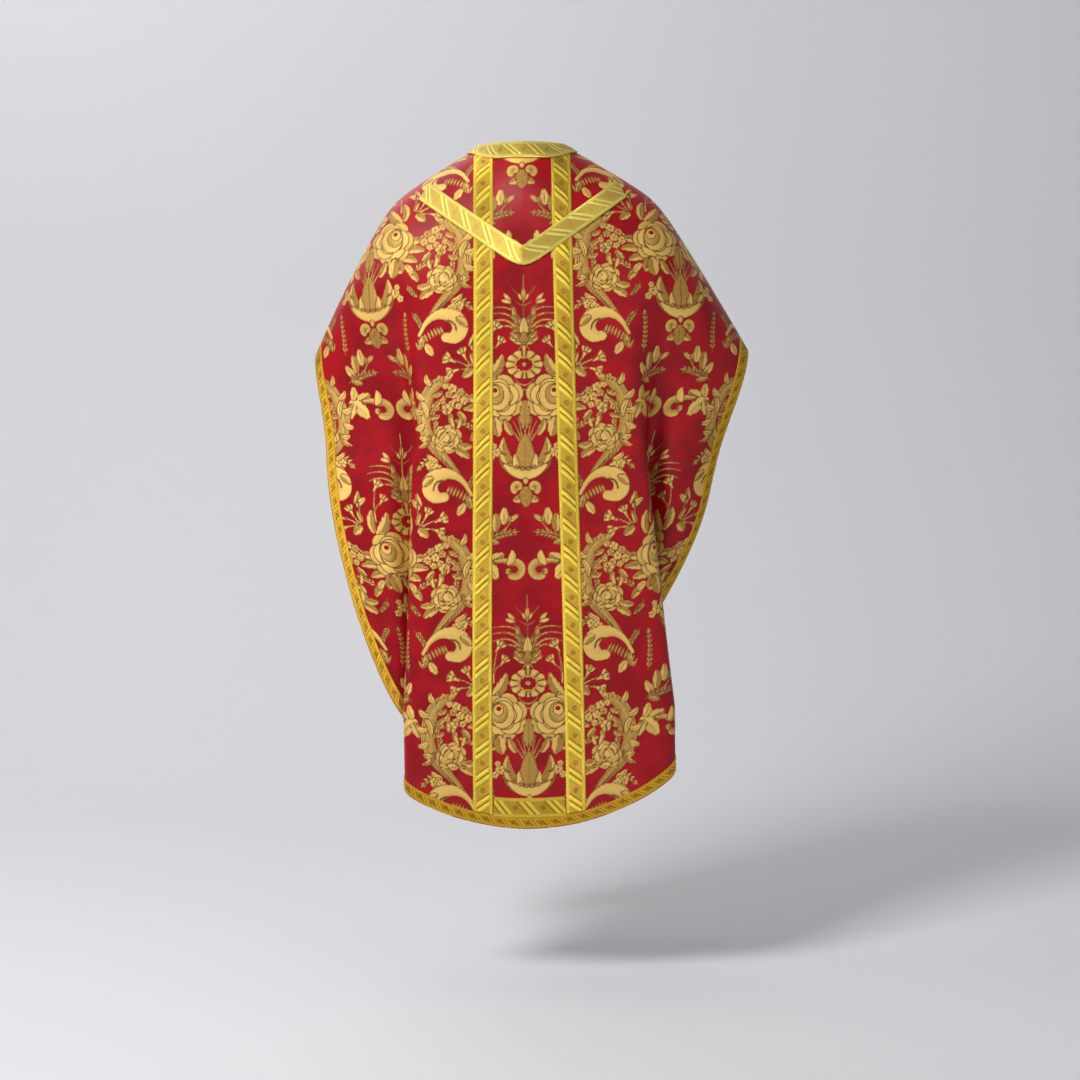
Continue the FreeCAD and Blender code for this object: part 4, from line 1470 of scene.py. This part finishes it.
    def braids(self) -> None:
        """Sew on the braids: uprights and foot first, the V over them and the collar on top."""
        for hand, word in ((-1.0, "left"), (1.0, "right")):
            band = Band(self.drape, f"{self.word}_{word}_column_braid")
            self.garment.add(band.column(hand, WIDE, 1.0 * MM, (44, self.column_rows)), Slot.GALLOON)
        foot = Band(self.drape, f"{self.word}_foot_braid").along(self.foot_path, WIDE, 1.0 * MM, (130, 44))
        self.garment.add(foot, Slot.GALLOON)
        yoke = Band(self.drape, f"{self.word}_yoke_braid").along(self.yoke_path, PALE, 2.5 * MM, (520, 40))
        self.garment.add(yoke, Slot.BRIGHT)
        collar = Band(self.drape, f"{self.word}_neck_braid").collar(COLLAR, 3.9 * MM, (360, 36))
        self.garment.add(collar, Slot.BRIGHT)
        edging = Band(self.drape, f"{self.word}_hem_braid").edge(NARROW, 0.9 * MM, (1700, 22))
        self.garment.add(edging, Slot.EDGING)

    def foot_path(self, u: Field) -> tuple[Field, Field]:
        """The short braid between the uprights: it sags half as much as the hem does."""
        reach = Cut.COLUMN_FOOT - 0.5 * Cut.GALLOON - Cut.CLEAR
        column = reach * (2.0 * u - 1.0)
        low = Cut.hem(np.zeros(1), self.face)
        return column, low + self.FOOT_LIFT + 0.5 * (Cut.hem(column, self.face) - low)

    def yoke_path(self, u: Field) -> tuple[Field, Field]:
        """The V from shoulder to shoulder: a hyperbola with a slightly rounded point."""
        drop = self.YOKE_DROP[self.face]
        column = np.arange(0.0, Cut.HALF, MM)
        over = self._yoke(column, drop) + self.YOKE_HEAD * Cut.GALLOON >= Cut.ridge(column)
        column = column[np.argmax(over)] * (2.0 * u - 1.0)
        return column, self._yoke(column, drop)

    def _yoke(self, column: Field, drop: float) -> Field:
        """Height of the middle of the V."""
        return -drop + self.YOKE_SLOPE * (np.hypot(column, self.YOKE_ROUND) - self.YOKE_ROUND)

    def facing(self) -> None:
        """Turn the neck edge in with a strip of lining."""
        column, height = Band(self.drape, "").round_neck(self.FACING_WIDTH, (200, 14))
        piece = Cloth.hung(self.drape, column, height).lift(-4.0 * MM).turned_under(-0.6 * MM, 2)
        self.garment.add(piece.mesh(f"{self.word}_neck_facing", -self.face.value), Slot.LINING)

    def build(self) -> None:
        """Build the whole half, from the panels to the braids."""
        seam = Cut.NECK + self.SEAM
        self.panel("centre", -Cut.NECK, Cut.NECK, self.centre_grid)
        self.panel("left", -Cut.HALF, -seam, self.side_grid)
        self.panel("right", seam, Cut.HALF, self.side_grid)
        self.inner("interlining", Slot.INTERLINING, 0.014, -1.2 * MM, False, (150, 200))
        self.inner("lining", Slot.LINING, 0.008, -3.0 * MM, True, (190, 250))
        self.facing()
        self.braids()


@dataclass
class ShoulderTape:
    """The tape that stays a shoulder seam, half on each sheet."""

    garment: Garment
    back: Sheet
    front: Sheet

    INSET: ClassVar[tuple] = (0.016, 0.024)
    HALF: ClassVar[float] = 0.012
    CLEAR: ClassVar[float] = 0.0006

    def build(self, hand: float, word: str) -> Piece:
        """Lay the tape along the ridge, from behind it to in front of it.

        Args:
            hand: -1 for the wearer's left, +1 for the right.
            word: the side's name.

        Returns:
            The tape.
        """
        first, last = Cut.NECK + self.INSET[0], Cut.HALF - self.INSET[1]
        ends = (first, last) if hand > 0.0 else (-last, -first)
        column = np.linspace(*ends, 180)[:, None]
        grids = []
        for sheet, arcs in ((self.front, np.linspace(self.HALF, self.CLEAR, 9)),
                            (self.back, np.linspace(self.CLEAR, self.HALF, 9))):
            drops = np.stack([sheet.ridge_drop(column[:, 0], arc) for arc in arcs], axis=1)
            height = Cut.ridge(column) - drops
            grids.append(sheet.drape.place(column + 0.0 * drops, height))
        points = np.concatenate(grids, axis=1)
        normals = slopes(points)
        normals = normals * np.sign(np.sum(normals[..., 2]))
        over = np.linspace(0.0, 2.0 * self.HALF, points.shape[1])[None, :]
        uv = np.stack(np.broadcast_arrays(column, over), axis=-1)
        cloth = Cloth(points, normals, uv, {}).lift(-4.0 * MM).turned_under(-0.6 * MM, 2)
        return self.garment.add(cloth.mesh(f"{word}_shoulder_tape", 1.0), Slot.TAPE)


# ---------------------------------------------------------------------------------------------
# The studio
# ---------------------------------------------------------------------------------------------


@dataclass(frozen=True)
class Studio:
    """A plain pale sweep, soft lights and the camera."""

    floor: float = -1.44
    wall: float = 2.6
    bend: float = 1.2
    wide: float = 7.0
    lens: float = 90.5
    eye: tuple[float, float, float] = (0.023, -4.73, -0.24)
    pitch: float = math.radians(84.6)
    roll: float = math.radians(-0.68)

    def sweep(self) -> Piece:
        """Make the floor and the wall as one sheet, see-through from beneath and from behind."""
        t = np.linspace(0.0, 0.5 * math.pi, 24)
        y = np.concatenate([[-9.0], self.wall - self.bend + self.bend * np.sin(t), [self.wall]])
        z = np.concatenate([[0.0], self.bend - self.bend * np.cos(t), [6.0]]) + self.floor
        x = np.linspace(-self.wide, self.wide, 3)
        points = np.stack(np.broadcast_arrays(x[:, None], y[None, :], z[None, :]), axis=-1).astype(float)
        uv = points[..., :2].copy()
        made = Cloth(points, np.zeros_like(points), uv, {}).mesh("sweep", 1.0)
        recipe = Recipe("paper")
        recipe.set(Base_Color=linear(232, 232, 235), Roughness=0.85, Specular_IOR_Level=0.2)
        behind = recipe.node("ShaderNodeNewGeometry").outputs["Backfacing"]
        recipe.set(Alpha=recipe.math("SUBTRACT", 1.0, behind))
        made.data.materials.append(recipe.material)
        return made

    def lamp(self, name: str, place: Sequence[float], aim: Sequence[float], power: float,
             size: float) -> None:
        """Hang a soft square lamp and turn it to its aim."""
        light = bpy.data.lights.new(name, "AREA")
        light.energy, light.size = power, size
        lamp = bpy.data.objects.new(name, light)
        bpy.context.scene.collection.objects.link(lamp)
        lamp.location = place
        lamp.rotation_euler = (Vector(aim) - Vector(place)).to_track_quat("-Z", "Y").to_euler()

    def camera(self) -> None:
        """Set the camera up in front of the back sheet, a little above its middle."""
        data = bpy.data.cameras.new("camera")
        data.lens, data.sensor_width = self.lens, 36.0
        camera = bpy.data.objects.new("camera", data)
        bpy.context.scene.collection.objects.link(camera)
        turn = Matrix.Rotation(self.pitch, 4, "X") @ Matrix.Rotation(self.roll, 4, "Z")
        camera.matrix_world = Matrix.Translation(self.eye) @ turn
        bpy.context.scene.camera = camera

    def build(self) -> None:
        """Set everything up."""
        self.sweep()
        self.lamp("key", (-1.75, -2.10, 1.75), (0.0, 0.0, -0.30), 98.0, 1.0)
        self.lamp("fill", (2.7, -3.4, 0.2), (0.0, 0.0, -0.6), 16.0, 2.4)
        self.lamp("wall", (-2.2, 0.6, 1.8), (0.0, 2.6, -0.4), 14.0, 2.0)
        self.lamp("rim", (-1.0, 2.2, 1.8), (0.0, 0.0, -0.5), 20.0, 2.0)
        world = bpy.data.worlds.new("room")
        world.use_nodes = True
        world.node_tree.nodes["Background"].inputs["Color"].default_value = linear(236, 238, 242)
        world.node_tree.nodes["Background"].inputs["Strength"].default_value = 0.29
        bpy.context.scene.world = world
        bpy.context.scene.view_settings.view_transform = "Standard"
        self.camera()


def main() -> None:
    """Build the garment and the studio."""
    logging.basicConfig(level=logging.INFO, format="%(message)s")
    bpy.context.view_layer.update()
    garment = Garment()
    repeat = Repeat()
    back = Sheet(garment, Face.BACK, repeat, (204, 480), (84, 700), 940)
    front = Sheet(garment, Face.FRONT, repeat, (164, 420), (64, 560), 880)
    for sheet in (back, front):
        sheet.build()
    tape = ShoulderTape(garment, back, front)
    for hand, word in ((-1.0, "left"), (1.0, "right")):
        tape.build(hand, word)
    Studio().build()
    LOG.info("%d pieces", garment.count)


if __name__ == "__main__":
    main()
